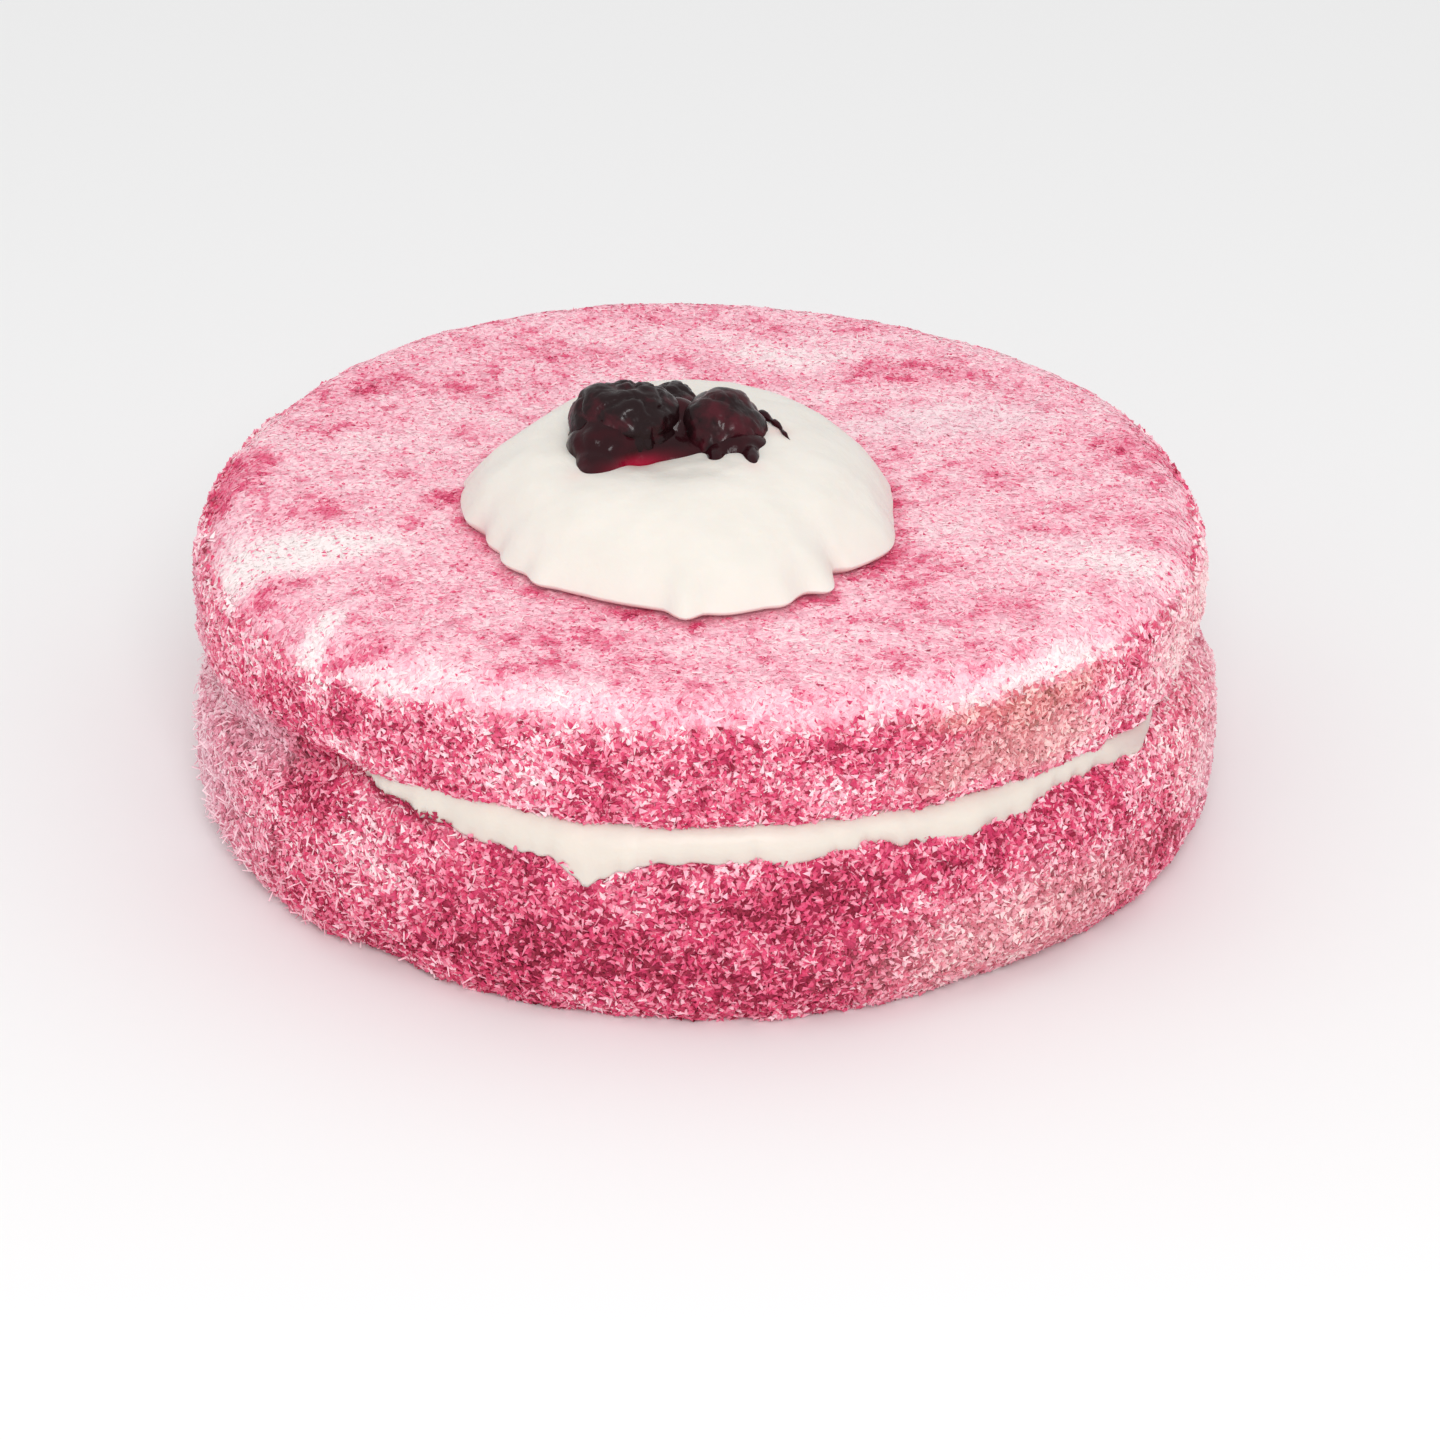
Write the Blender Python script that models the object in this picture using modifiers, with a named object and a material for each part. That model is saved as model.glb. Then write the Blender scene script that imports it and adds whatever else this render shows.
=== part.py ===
"""A round snowball cake of two coconut-coated sponge layers, with a cream filling that
shows along the seam, and a dollop of cream with dark berries in jam on top.

Metres, +Z up. The cake stands on z = 0 with its axis on Z. A bearing is an angle in
degrees round an upright axis: 0 at the front (-Y), growing to the right (+X).
"""

from math import atan2, cos, degrees, hypot, pi, radians, sin, sqrt
from random import Random

import bmesh
import bpy
from mathutils import Matrix, Vector, noise

MM = 0.001

# Driving sizes of the cake
CAKE_RADIUS = 100 * MM
LOWER_RADIUS = 102 * MM
LOWER_SHIFT = 1.5 * MM
CAKE_HEIGHT = 65.8 * MM
SEAM_HEIGHT = 40.2 * MM
FILLING_THICKNESS = 4.5 * MM
RIM_STRAY = 1.1 * MM
GAP = 0.35 * MM
# The room for the filling is this much higher, so that nothing is left above the filling
FILLING_ROOM_LIFT = 4 * MM
# A face whose normal rises more than this counts as an upper face
UPWARD = 0.3

# Rounded edges: how far in from the rim each starts, and how far up or down it ends
TOP_EDGE = (11 * MM, 9.5 * MM)
SEAM_EDGE = (9 * MM, 4.5 * MM)
SHOULDER = (11 * MM, 15 * MM)
FOOT_EDGE = (7.5 * MM, 13.5 * MM)

# The seam dips towards the rim at these bearings, or rises: bearing, half width, depth
SEAM_SAGS = ((-88, 54, 9.2 * MM), (70, 16, -2.2 * MM), (104, 36, 4 * MM), (205, 50, 3 * MM))
SAG_STARTS = 60 * MM
SAG_ENDS = 91 * MM
RIM_STARTS = 96 * MM
TOP_EDGE_SAGS = ((-72, 42, 4.5 * MM), (-114, 22, 1.2 * MM), (-162, 42, -1.2 * MM))
TOP_SAG_STARTS = 70 * MM
# Where the filling is hidden, the layers pinch in to a groove this much deeper
SEAM_PINCH = 2.6 * MM
PINCH_REACH = 8 * MM
# The lower layer's foot tucks in: bearing, half width, depth
FOOT_TUCKS = ((37, 30, 3.6 * MM), (-38, 9, 2.6 * MM), (160, 30, 3 * MM))
FOOT_TUCK_REACH = 12 * MM

# Where the filling reaches the rim: bearing, half width
FILLING_SHOWS = ((13.5, 64.5), (137, 34), (228, 30))
FILLING_EDGE_FADE = 17
FILLING_HIDDEN_RADIUS = 89 * MM
FILLING_BULGE = 0.9 * MM
FILLING_UNDERCUT = 4.5 * MM
# The filling's lower lip runs down over the lower layer, or thins: bearing, half width, depth
LIP_DRIPS = (
    (-11.25, 5.5, 6.6 * MM),
    (-5.5, 6, 2.4 * MM),
    (-46, 22, -3 * MM),
    (29, 8, 1.6 * MM),
    (46, 16, -1.6 * MM),
    (66, 10, -4 * MM),
    (141, 8, 3.5 * MM),
    (225, 7, 2.4 * MM),
)
DRIP_SPREAD = 0.3

# The dollop of cream
DOLLOP_X = -5 * MM
DOLLOP_Y = -12 * MM
DOLLOP_RADIUS = 42 * MM
DOLLOP_HEIGHT = 17.6 * MM
DOLLOP_UNDERCUT = 1.2 * MM
# Its height at a share of its radius is (1 - rim * share ** fullness) ** roundness
DOLLOP_RIM = 0.95
DOLLOP_FULLNESS = 3.1
DOLLOP_ROUNDNESS = 0.9
# Lobes and hollows of its outline: bearing, half width, reach
DOLLOP_LOBES = (
    (12, 44, 9.6 * MM),
    (-28, 28, 4 * MM),
    (60, 24, 4.6 * MM),
    (2, 7, 3 * MM),
    (36, 7, 4 * MM),
    (-66, 9, -1.8 * MM),
    (-120, 30, -7 * MM),
    (150, 32, 5 * MM),
)
DOLLOP_LOBE_REACH = 3
DOLLOP_FOLD = 0.5 * MM
DOLLOP_FOLDS_ROUND = 3
DOLLOP_FOLD_LENGTH = 8 * MM
DOLLOP_FOLDS_FROM = 8 * MM
BERRY_DENT_DEPTH = 4.4 * MM
BERRY_DENT_RADIUS = 26 * MM
BERRY_DENT_X = -9 * MM
BERRY_DENT_Y = -17 * MM

# Berries, in mm above the cake's top: name, centre, half sizes, turn about Z, lump depth
BERRIES = (
    ("berry_left", (-15.6, -13.2, 16.6), (10.4, 10.0, 9.4), 10, 1.7),
    ("berry_right", (3.6, -12.4, 15.6), (9.4, 8.6, 8.5), -20, 1.5),
    ("berry_back", (-6.6, -0.8, 16.6), (6.0, 4.6, 4.6), -25, 1.0),
)
BERRY_SEGMENTS = 14
LUMPS_PER_RADIUS = 1.7
# The jam's blobs, in the same way: its pool under the berries, and what runs out in front
JAM_POOL = ((-6.5, -12.5, 13.4), (19.0, 10.0, 4.2), 8, 1.0)
JAM_RUNS = (
    ((-19.0, -22.8, 13.6), (7.8, 9.0, 4.6), 20, 0.6),
    ((6.4, -20.0, 13.6), (7.4, 6.6, 4.0), -10, 0.8),
)
JAM_POOL_SEGMENTS = 14
JAM_RUN_SEGMENTS = 10

# Steps round the axis, and along a profile
COAT_STEPS = 96
DOLLOP_STEPS = 72
TOP_RINGS = 6
DOLLOP_RINGS = 8

# Coconut coat
LOWER_SEED = 4
UPPER_SEED = 9
RELIEF = 0.85 * MM
RELIEF_GRAIN = 7 * MM
RELIEF_JITTER = 0.8
VERTEX_SLIDE = 1.2 * MM
BARE_AT_SEAM = 1 * MM
BARE_AT_FOOT = 0.3 * MM
COAT_FADE = 4 * MM
BARE_ROUND_DOLLOP = 7 * MM
FLAKE_LENGTH = 4.6 * MM
FLAKE_WIDTH = 1.3 * MM
FLAKE_THICKNESS = 0.7 * MM
FLAKE_CURL = 0.8 * MM
FLAKE_SUNK_SHARE = 0.36
FLAKE_SEAM_CLEARANCE = 5 * MM
FLAKE_EDGE_CLEARANCE = 4 * MM
FLAKE_DOLLOP_CLEARANCE = 8 * MM
FLAKE_SEARCH = 5 * MM
TOP_FLAKE_RADIUS = 97 * MM
SIDE_LEAN = (18, 52)
TOP_LEAN = (8, 26)
TOP_FLAKES = 30
UPPER_SIDE_FLAKES = 22
LOWER_SIDE_FLAKES = 32
GOLDEN_ANGLE = 137.508


def smooth_step(low, high, value):
    """0 up to low, 1 from high, and an even S between them."""
    share = min(max((value - low) / (high - low), 0.0), 1.0)
    return share * share * (3 - 2 * share)


def swell(bearing, centre, half_width):
    """A round hump in bearing: 1 at its centre and 0 beyond its half width."""
    away = abs((bearing - centre + 180) % 360 - 180) / half_width
    return cos(away * pi / 2) ** 2 if away < 1 else 0.0


def swells(bearing, humps):
    """The sum of several humps, each given as centre, half width and height."""
    return sum(height * swell(bearing, centre, half) for centre, half, height in humps)


def bearing_of(x, y):
    """The bearing of a point of a plan from its middle."""
    return degrees(atan2(x, -y))


def point_at(radius, height, bearing):
    """The point at a radius, height and bearing."""
    turn = radians(bearing)
    return Vector((radius * sin(turn), -radius * cos(turn), height))


def sag(radius, bearing):
    """How far the seam lies below its height at the cake's middle."""
    share = (radius - SAG_STARTS) / (SAG_ENDS - SAG_STARTS)
    return swells(bearing, SEAM_SAGS) * min(max(share, 0.0), 1.0)


def pinch(radius, bearing, from_seam):
    """How far a point of the rim lies in towards the seam's groove."""
    near_seam = 1 - smooth_step(0, PINCH_REACH, from_seam)
    rim_share = smooth_step(SAG_ENDS, RIM_STARTS, radius)
    return SEAM_PINCH * rim_share * near_seam * (1 - filling_shows(bearing))


def filling_shows(bearing):
    """1 where the filling comes out to the rim, and 0 where the coat hides it."""
    shown = 0.0
    for centre, half in FILLING_SHOWS:
        away = abs((bearing - centre + 180) % 360 - 180)
        shown = max(shown, 1 - smooth_step(half - FILLING_EDGE_FADE, half + 1, away))
    return shown


def quarter(level_end, upright_end, steps):
    """The points of a quarter ellipse after level_end, where it runs level, up to and with
    upright_end, where it runs upright. An end is a radius and a height."""
    (level_radius, level_height), (upright_radius, upright_height) = level_end, upright_end
    for step in range(1, steps + 1):
        turn = pi / 2 * step / steps
        yield (
            level_radius + (upright_radius - level_radius) * sin(turn),
            upright_height + (level_height - upright_height) * cos(turn),
        )


def quarter_back(upright_end, level_end, steps):
    """The same from upright_end to level_end."""
    points = [level_end, *quarter(level_end, upright_end, steps)]
    return points[-2::-1]


def uneven(bearing, seed):
    """How far the rim strays from a true circle: a slow noise round the cake."""
    turn = radians(bearing)
    return RIM_STRAY * noise.noise((2 * sin(turn), 2 * cos(turn), seed))


def dollop_outline(bearing):
    """The dollop's reach from its own middle."""
    return DOLLOP_RADIUS + swells(bearing, DOLLOP_LOBES)


def under_dollop(x, y, margin):
    """Whether a point of the cake's top is under the dollop, or nearer to it than margin."""
    east, north = x - DOLLOP_X, y - DOLLOP_Y
    return hypot(east, north) < dollop_outline(bearing_of(east, north)) + margin


def collection_named(name):
    """A new collection in the scene."""
    group = bpy.data.collections.new(name)
    bpy.context.scene.collection.children.link(group)
    return group


def material_named(name, colour, roughness):
    """A plain material that isn't metal."""
    material = bpy.data.materials.new(name)
    material.use_nodes = True
    shader = material.node_tree.nodes["Principled BSDF"]
    shader.inputs["Base Color"].default_value = (*colour, 1)
    shader.inputs["Roughness"].default_value = roughness
    shader.inputs["Metallic"].default_value = 0
    return material


def evaluated_mesh(obj):
    """The object's mesh with its modifiers applied."""
    graph = bpy.context.evaluated_depsgraph_get()
    return bpy.data.meshes.new_from_object(obj.evaluated_get(graph))


def apply_modifiers(obj):
    """Gives the object its evaluated mesh in place of its modifiers."""
    made = evaluated_mesh(obj)
    obj.modifiers.clear()
    obj.data = made


def turned(name, profile, steps, group):
    """A closed shape from a profile of radius and height, from the top of the axis down
    the outside to its foot, turned by a Screw modifier that is then applied."""
    mesh = bpy.data.meshes.new(name)
    points = [(radius, 0, height) for radius, height in profile]
    mesh.from_pydata(points, [(i, i + 1) for i in range(len(points) - 1)], [])
    obj = bpy.data.objects.new(name, mesh)
    group.objects.link(obj)
    screw = obj.modifiers.new("turn", "SCREW")
    screw.steps = steps
    screw.render_steps = steps
    screw.use_merge_vertices = True
    screw.merge_threshold = 0.00001
    apply_modifiers(obj)
    return obj


def warp(obj, place):
    """Moves each vertex from its nominal radius, height and bearing to those of place.
    It splits the faces along their short diagonals, so that facing surfaces fold alike."""
    shape = bmesh.new()
    shape.from_mesh(obj.data)
    for vertex in shape.verts:
        radius = hypot(vertex.co.x, vertex.co.y)
        bearing = bearing_of(vertex.co.x, vertex.co.y)
        radius, height = place(radius, vertex.co.z, bearing)
        vertex.co = point_at(radius, height, bearing)
    bmesh.ops.triangulate(shape, faces=shape.faces, quad_method="SHORT_EDGE")
    shape.to_mesh(obj.data)
    shape.free()


def roughen(obj, exposure, rng):
    """Coconut relief: exposed vertices slide along the surface and stand in or out of it."""
    normals = [vertex.normal.copy() for vertex in obj.data.vertices]
    for vertex, normal in zip(obj.data.vertices, normals):
        share = exposure(vertex.co)
        slide = Vector([rng.uniform(-1, 1) * VERTEX_SLIDE for _ in range(3)])
        slide -= normal * slide.dot(normal)
        jitter = rng.uniform(-RELIEF_JITTER, RELIEF_JITTER)
        rise = RELIEF * (noise.noise(vertex.co / RELIEF_GRAIN) + jitter)
        vertex.co += share * (slide + normal * rise)
    obj.data.update()


def drop_scraps(obj):
    """Keeps the largest body of the object's mesh."""
    shape = bmesh.new()
    shape.from_mesh(obj.data)
    left = set(shape.verts)
    bodies = []
    while left:
        body, edge_of_body = set(), [left.pop()]
        while edge_of_body:
            vertex = edge_of_body.pop()
            body.add(vertex)
            for edge in vertex.link_edges:
                other = edge.other_vert(vertex)
                if other in left:
                    left.remove(other)
                    edge_of_body.append(other)
        bodies.append(body)
    bodies.sort(key=len)
    for scrap in bodies[:-1]:
        bmesh.ops.delete(shape, geom=list(scrap), context="VERTS")
    shape.to_mesh(obj.data)
    shape.free()


def carve(obj, tools, cutters, lift=0):
    """Cuts each tool out of the object, grown by the gap, so that they lie face to face.
    The lift also raises the cut's upper faces, to open it at the top."""
    for tool in tools:
        cutter = bpy.data.objects.new(f"{obj.name}_less_{tool.name}", evaluated_mesh(tool))
        cutter.matrix_world = tool.matrix_world
        cutters.objects.link(cutter)
        normals = [vertex.normal.copy() for vertex in cutter.data.vertices]
        for vertex, normal in zip(cutter.data.vertices, normals):
            vertex.co += normal * GAP
            if normal.z > UPWARD:
                vertex.co.z += lift
        cutter.hide_render = True
        cutter.display_type = "WIRE"
        cut = obj.modifiers.new(f"room for {tool.name}", "BOOLEAN")
        cut.operation = "DIFFERENCE"
        cut.solver = "EXACT"
        cut.object = cutter
    apply_modifiers(obj)
    drop_scraps(obj)


def fuse(obj, group):
    """Joins a collection's objects to the object with one union, and removes them."""
    bpy.context.view_layer.update()
    union = obj.modifiers.new(f"with {group.name}", "BOOLEAN")
    union.operation = "UNION"
    union.operand_type = "COLLECTION"
    union.collection = group
    union.solver = "EXACT"
    apply_modifiers(obj)
    for joined in list(group.objects):
        bpy.data.objects.remove(joined)
    bpy.data.collections.remove(group)
    drop_scraps(obj)


def make_flake_mesh():
    """A coconut shred: a short strip, curled along its length."""
    shape = bmesh.new()
    bmesh.ops.create_cube(shape, size=1)
    long_edges = [
        edge
        for edge in shape.edges
        if abs(edge.verts[0].co.x - edge.verts[1].co.x) > 0.5
    ]
    bmesh.ops.subdivide_edges(shape, edges=long_edges, cuts=1)
    for vertex in shape.verts:
        curl = FLAKE_CURL * (1 - (2 * vertex.co.x) ** 2)
        vertex.co.x *= FLAKE_LENGTH
        vertex.co.y *= FLAKE_WIDTH
        vertex.co.z = vertex.co.z * FLAKE_THICKNESS + curl - FLAKE_CURL / 2
    mesh = bpy.data.meshes.new("flake")
    shape.to_mesh(mesh)
    shape.free()
    return mesh


def evenly(count):
    """Pairs that cover a circle and a height evenly: a bearing, and a share from 0 to 1."""
    for index in range(count):
        share, digit, rest = 0.0, 0.5, index + 1
        while rest:
            share += digit * (rest % 2)
            rest //= 2
            digit /= 2
        yield index * GOLDEN_ANGLE, share


def place_flake(name, mesh, layer, near, leans, group, rng):
    """Sets a flake into the layer's surface next to a point, leaning out at random."""
    _, foot, normal, _ = layer.closest_point_on_mesh(near)
    across = normal.orthogonal().normalized()
    along = Matrix.Rotation(rng.uniform(0, 2 * pi), 3, normal) @ across
    lean = radians(rng.uniform(*leans))
    length_axis = along * cos(lean) + normal * sin(lean)
    face_axis = normal * cos(lean) - along * sin(lean)
    side_axis = face_axis.cross(length_axis)
    centre = foot + length_axis * FLAKE_LENGTH * (0.5 - FLAKE_SUNK_SHARE)
    flake = bpy.data.objects.new(name, mesh)
    turn = Matrix((length_axis, side_axis, face_axis)).transposed().to_4x4()
    flake.matrix_world = Matrix.Translation(centre) @ turn
    group.objects.link(flake)


def fuse_flakes(layer, spots, rng):
    """Joins a flake for each spot, a point and its range of lean, with one Boolean union."""
    flakes = collection_named(f"{layer.name}_flakes")
    mesh = make_flake_mesh()
    for index, (near, leans) in enumerate(spots):
        place_flake(f"{layer.name}_flake_{index}", mesh, layer, near, leans, flakes, rng)
    fuse(layer, flakes)


def lower_layer(group):
    """The lower sponge layer: a flat foot, a full side and a round shoulder at the seam."""
    top = SEAM_HEIGHT
    shoulder = (LOWER_RADIUS, top - SHOULDER[1])
    foot_edge = (LOWER_RADIUS, FOOT_EDGE[1])
    profile = (
        (0, top),
        (SAG_STARTS, top),
        (SAG_ENDS, top),
        *quarter((LOWER_RADIUS - SHOULDER[0], top), shoulder, 5),
        foot_edge,
        *quarter_back(foot_edge, (LOWER_RADIUS - FOOT_EDGE[0], 0), 4),
        (0, 0),
    )

    def place(radius, height, bearing):
        sideways = sin(radians(bearing)) * LOWER_SHIFT
        tuck = swells(bearing, FOOT_TUCKS) * (1 - smooth_step(0, FOOT_TUCK_REACH, height))
        stray = uneven(bearing, LOWER_SEED) + sideways - tuck
        placed = radius + smooth_step(SAG_ENDS, RIM_STARTS, radius) * stray
        placed -= pinch(radius, bearing, top - height)
        return placed, height - sag(placed, bearing) * (height / top)

    layer = turned("lower_layer", profile, COAT_STEPS, group)
    warp(layer, place)

    def exposure(point):
        below_seam = top - sag(hypot(point.x, point.y), bearing_of(point.x, point.y)) - point.z
        at_seam = smooth_step(BARE_AT_SEAM, BARE_AT_SEAM + COAT_FADE, below_seam)
        return at_seam * smooth_step(BARE_AT_FOOT, BARE_AT_FOOT + COAT_FADE, point.z)

    rng = Random(LOWER_SEED)
    roughen(layer, exposure, rng)
    spots = []
    for bearing, share in evenly(LOWER_SIDE_FLAKES):
        lip = max(swells(bearing, LIP_DRIPS), 0) + FILLING_THICKNESS * filling_shows(bearing)
        highest = top - sag(LOWER_RADIUS, bearing) - lip - FLAKE_SEAM_CLEARANCE
        height = FLAKE_EDGE_CLEARANCE + share * (highest - FLAKE_EDGE_CLEARANCE)
        spots.append((point_at(LOWER_RADIUS + FLAKE_SEARCH, height, bearing), SIDE_LEAN))
    fuse_flakes(layer, spots, rng)
    return layer


def upper_layer(group):
    """The upper sponge layer: a flat top and round edges. It droops at the left."""
    foot = SEAM_HEIGHT + GAP
    top = CAKE_HEIGHT
    top_edge = (CAKE_RADIUS - TOP_EDGE[0], top)
    seam_edge = (CAKE_RADIUS, foot + SEAM_EDGE[1])
    profile = (
        (0, top),
        *[(top_edge[0] * sqrt(ring / TOP_RINGS), top) for ring in range(1, TOP_RINGS + 1)],
        *quarter(top_edge, (CAKE_RADIUS, top - TOP_EDGE[1]), 4),
        seam_edge,
        *quarter_back(seam_edge, (CAKE_RADIUS - SEAM_EDGE[0], foot), 3),
        (SAG_STARTS, foot),
        (0, foot),
    )

    def place(radius, height, bearing):
        stray = uneven(bearing, UPPER_SEED)
        placed = radius + smooth_step(SAG_ENDS, RIM_STARTS, radius) * stray
        placed -= pinch(radius, bearing, height - foot)
        from_top = (top - height) / (top - foot)
        droop = swells(bearing, TOP_EDGE_SAGS) * smooth_step(TOP_SAG_STARTS, CAKE_RADIUS, radius)
        return placed, height - droop * (1 - from_top) - sag(placed, bearing) * from_top

    layer = turned("upper_layer", profile, COAT_STEPS, group)
    warp(layer, place)

    def exposure(point):
        above_seam = point.z - foot + sag(hypot(point.x, point.y), bearing_of(point.x, point.y))
        covered = under_dollop(point.x, point.y, BARE_ROUND_DOLLOP)
        return 0 if covered else smooth_step(BARE_AT_SEAM, BARE_AT_SEAM + COAT_FADE, above_seam)

    rng = Random(UPPER_SEED)
    roughen(layer, exposure, rng)
    spots = []
    for index in range(TOP_FLAKES * 2):
        radius = TOP_FLAKE_RADIUS * sqrt((index + 0.5) / (TOP_FLAKES * 2))
        near = point_at(radius, top + FLAKE_SEARCH, index * GOLDEN_ANGLE)
        if not under_dollop(near.x, near.y, FLAKE_DOLLOP_CLEARANCE) and len(spots) < TOP_FLAKES:
            spots.append((near, TOP_LEAN))
    for bearing, share in evenly(UPPER_SIDE_FLAKES):
        lowest = foot - sag(CAKE_RADIUS, bearing) + FLAKE_SEAM_CLEARANCE
        height = lowest + share * (top - FLAKE_EDGE_CLEARANCE - lowest)
        spots.append((point_at(CAKE_RADIUS + FLAKE_SEARCH, height, bearing), SIDE_LEAN))
    fuse_flakes(layer, spots, rng)
    return layer


def cream_filling(group):
    """The cream between the layers: a full disc whose edge swells out where it shows."""
    top = SEAM_HEIGHT
    lip = top - FILLING_THICKNESS
    bulge = (CAKE_RADIUS + FILLING_BULGE, (top + lip) / 2)
    profile = (
        (0, top),
        (SAG_STARTS, top),
        (SAG_ENDS, top),
        *quarter((SAG_ENDS, top), bulge, 3),
        *quarter_back(bulge, (bulge[0] - FILLING_UNDERCUT, lip), 2),
        (SAG_STARTS, lip),
        (0, lip),
    )

    def place(radius, height, bearing):
        shown = filling_shows(bearing)
        from_top = (top - height) / FILLING_THICKNESS
        outer = max(radius - SAG_STARTS, 0) / (bulge[0] - SAG_STARTS)
        drip = outer * from_top * swells(bearing, LIP_DRIPS) * shown
        drawn_in = outer * (1 - shown) * (bulge[0] - FILLING_HIDDEN_RADIUS)
        placed = radius + DRIP_SPREAD * max(drip, 0) - drawn_in
        return placed, height - drip - sag(placed, bearing)

    filling = turned("cream_filling", profile, COAT_STEPS, group)
    warp(filling, place)
    return filling


def dollop_point(step):
    """A point of the dollop's profile, from 0 at the middle to DOLLOP_RINGS at the rim."""
    share = sin(pi / 2 * step / DOLLOP_RINGS)
    height = (1 - DOLLOP_RIM * share**DOLLOP_FULLNESS) ** DOLLOP_ROUNDNESS
    return DOLLOP_RADIUS * share, DOLLOP_HEIGHT * height


def cream_dollop(group):
    """The dollop: a low mound with an uneven outline, dented where the berries lie."""
    profile = (
        *[dollop_point(step) for step in range(DOLLOP_RINGS + 1)],
        (DOLLOP_RADIUS - DOLLOP_UNDERCUT, 0),
        (0, 0),
    )

    def place(radius, height, bearing):
        lobes = swells(bearing, DOLLOP_LOBES) * (radius / DOLLOP_RADIUS) ** DOLLOP_LOBE_REACH
        placed = radius + lobes
        spot = point_at(placed, 0, bearing)
        from_dent = hypot(spot.x + DOLLOP_X - BERRY_DENT_X, spot.y + DOLLOP_Y - BERRY_DENT_Y)
        dent = BERRY_DENT_DEPTH * (1 - smooth_step(0, BERRY_DENT_RADIUS, from_dent))
        phase = DOLLOP_FOLDS_ROUND * radians(bearing) + placed / DOLLOP_FOLD_LENGTH
        fold = DOLLOP_FOLD * sin(phase)
        return placed, height + smooth_step(0, DOLLOP_FOLDS_FROM, height) * (fold - dent)

    dollop = turned("cream_dollop", profile, DOLLOP_STEPS, group)
    warp(dollop, place)
    dollop.location = (DOLLOP_X, DOLLOP_Y, CAKE_HEIGHT + GAP)
    return dollop


def lumpy_ball(name, centre, half_sizes, turn, lump, segments, group):
    """A berry or a blob: a sphere scaled to its half sizes and dented by a slow noise."""
    shape = bmesh.new()
    bmesh.ops.create_uvsphere(
        shape, u_segments=segments, v_segments=segments * 2 // 3, radius=1
    )
    for vertex in shape.verts:
        dent = lump * MM * noise.noise(vertex.co * LUMPS_PER_RADIUS + Vector(centre))
        grown = Vector([vertex.co[i] * (half_sizes[i] * MM + dent) for i in range(3)])
        vertex.co = grown
    bmesh.ops.triangulate(shape, faces=shape.faces, quad_method="SHORT_EDGE")
    mesh = bpy.data.meshes.new(name)
    shape.to_mesh(mesh)
    shape.free()
    mesh.shade_smooth()
    ball = bpy.data.objects.new(name, mesh)
    ball.location = Vector(centre) * MM + Vector((0, 0, CAKE_HEIGHT))
    ball.rotation_euler = (0, 0, radians(turn))
    group.objects.link(ball)
    bpy.context.view_layer.update()
    return ball


def topping(group, cutters):
    """The dollop, berries and jam: the jam is a pool fused with what runs out in front."""
    left, right, back = berries = [
        lumpy_ball(name, centre, half_sizes, turn, lump, BERRY_SEGMENTS, group)
        for name, centre, half_sizes, turn, lump in BERRIES
    ]
    jam = lumpy_ball("jam", *JAM_POOL, JAM_POOL_SEGMENTS, group)
    runs = collection_named("jam_runs")
    for index, run in enumerate(JAM_RUNS):
        lumpy_ball(f"jam_run_{index}", *run, JAM_RUN_SEGMENTS, runs)
    dollop = cream_dollop(group)
    carve(dollop, [*berries, jam, *runs.objects], cutters)
    fuse(jam, runs)
    carve(jam, berries, cutters)
    carve(back, [left, right], cutters)
    carve(right, [left], cutters)
    return dollop, jam, berries


def main():
    """Builds the cake and gives each piece its material."""
    for obj in list(bpy.data.objects):
        bpy.data.objects.remove(obj)
    cake = collection_named("snowball_cake")
    cutters = collection_named("cutters")

    filling = cream_filling(cake)
    lower = lower_layer(cake)
    carve(lower, [filling], cutters, lift=FILLING_ROOM_LIFT)
    upper = upper_layer(cake)
    dollop, jam, berries = topping(cake, cutters)

    coat = material_named("coconut_coat", (0.86, 0.40, 0.50), 0.9)
    cream = material_named("whipped_cream", (0.93, 0.89, 0.82), 0.45)
    skin = material_named("berry_skin", (0.035, 0.012, 0.016), 0.18)
    jelly = material_named("berry_jam", (0.16, 0.01, 0.025), 0.1)
    finishes = ((lower, coat), (upper, coat), (filling, cream), (dollop, cream), (jam, jelly))
    for obj, material in (*finishes, *[(berry, skin) for berry in berries]):
        obj.data.materials.clear()
        obj.data.materials.append(material)
    for obj in (filling, dollop):
        obj.data.shade_smooth()


main()
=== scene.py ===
"""A raspberry snowball cake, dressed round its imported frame.

Lengths are in millimetres and angles in degrees until a mesh is made. The cake stands on z = 0
with its axis on Z. A bearing is an angle round the axis: 0 at the front (-Y), and growing to the
right (+X).
"""

from __future__ import annotations

import logging
from collections.abc import Callable
from dataclasses import dataclass
from enum import Enum
from typing import Any

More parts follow.
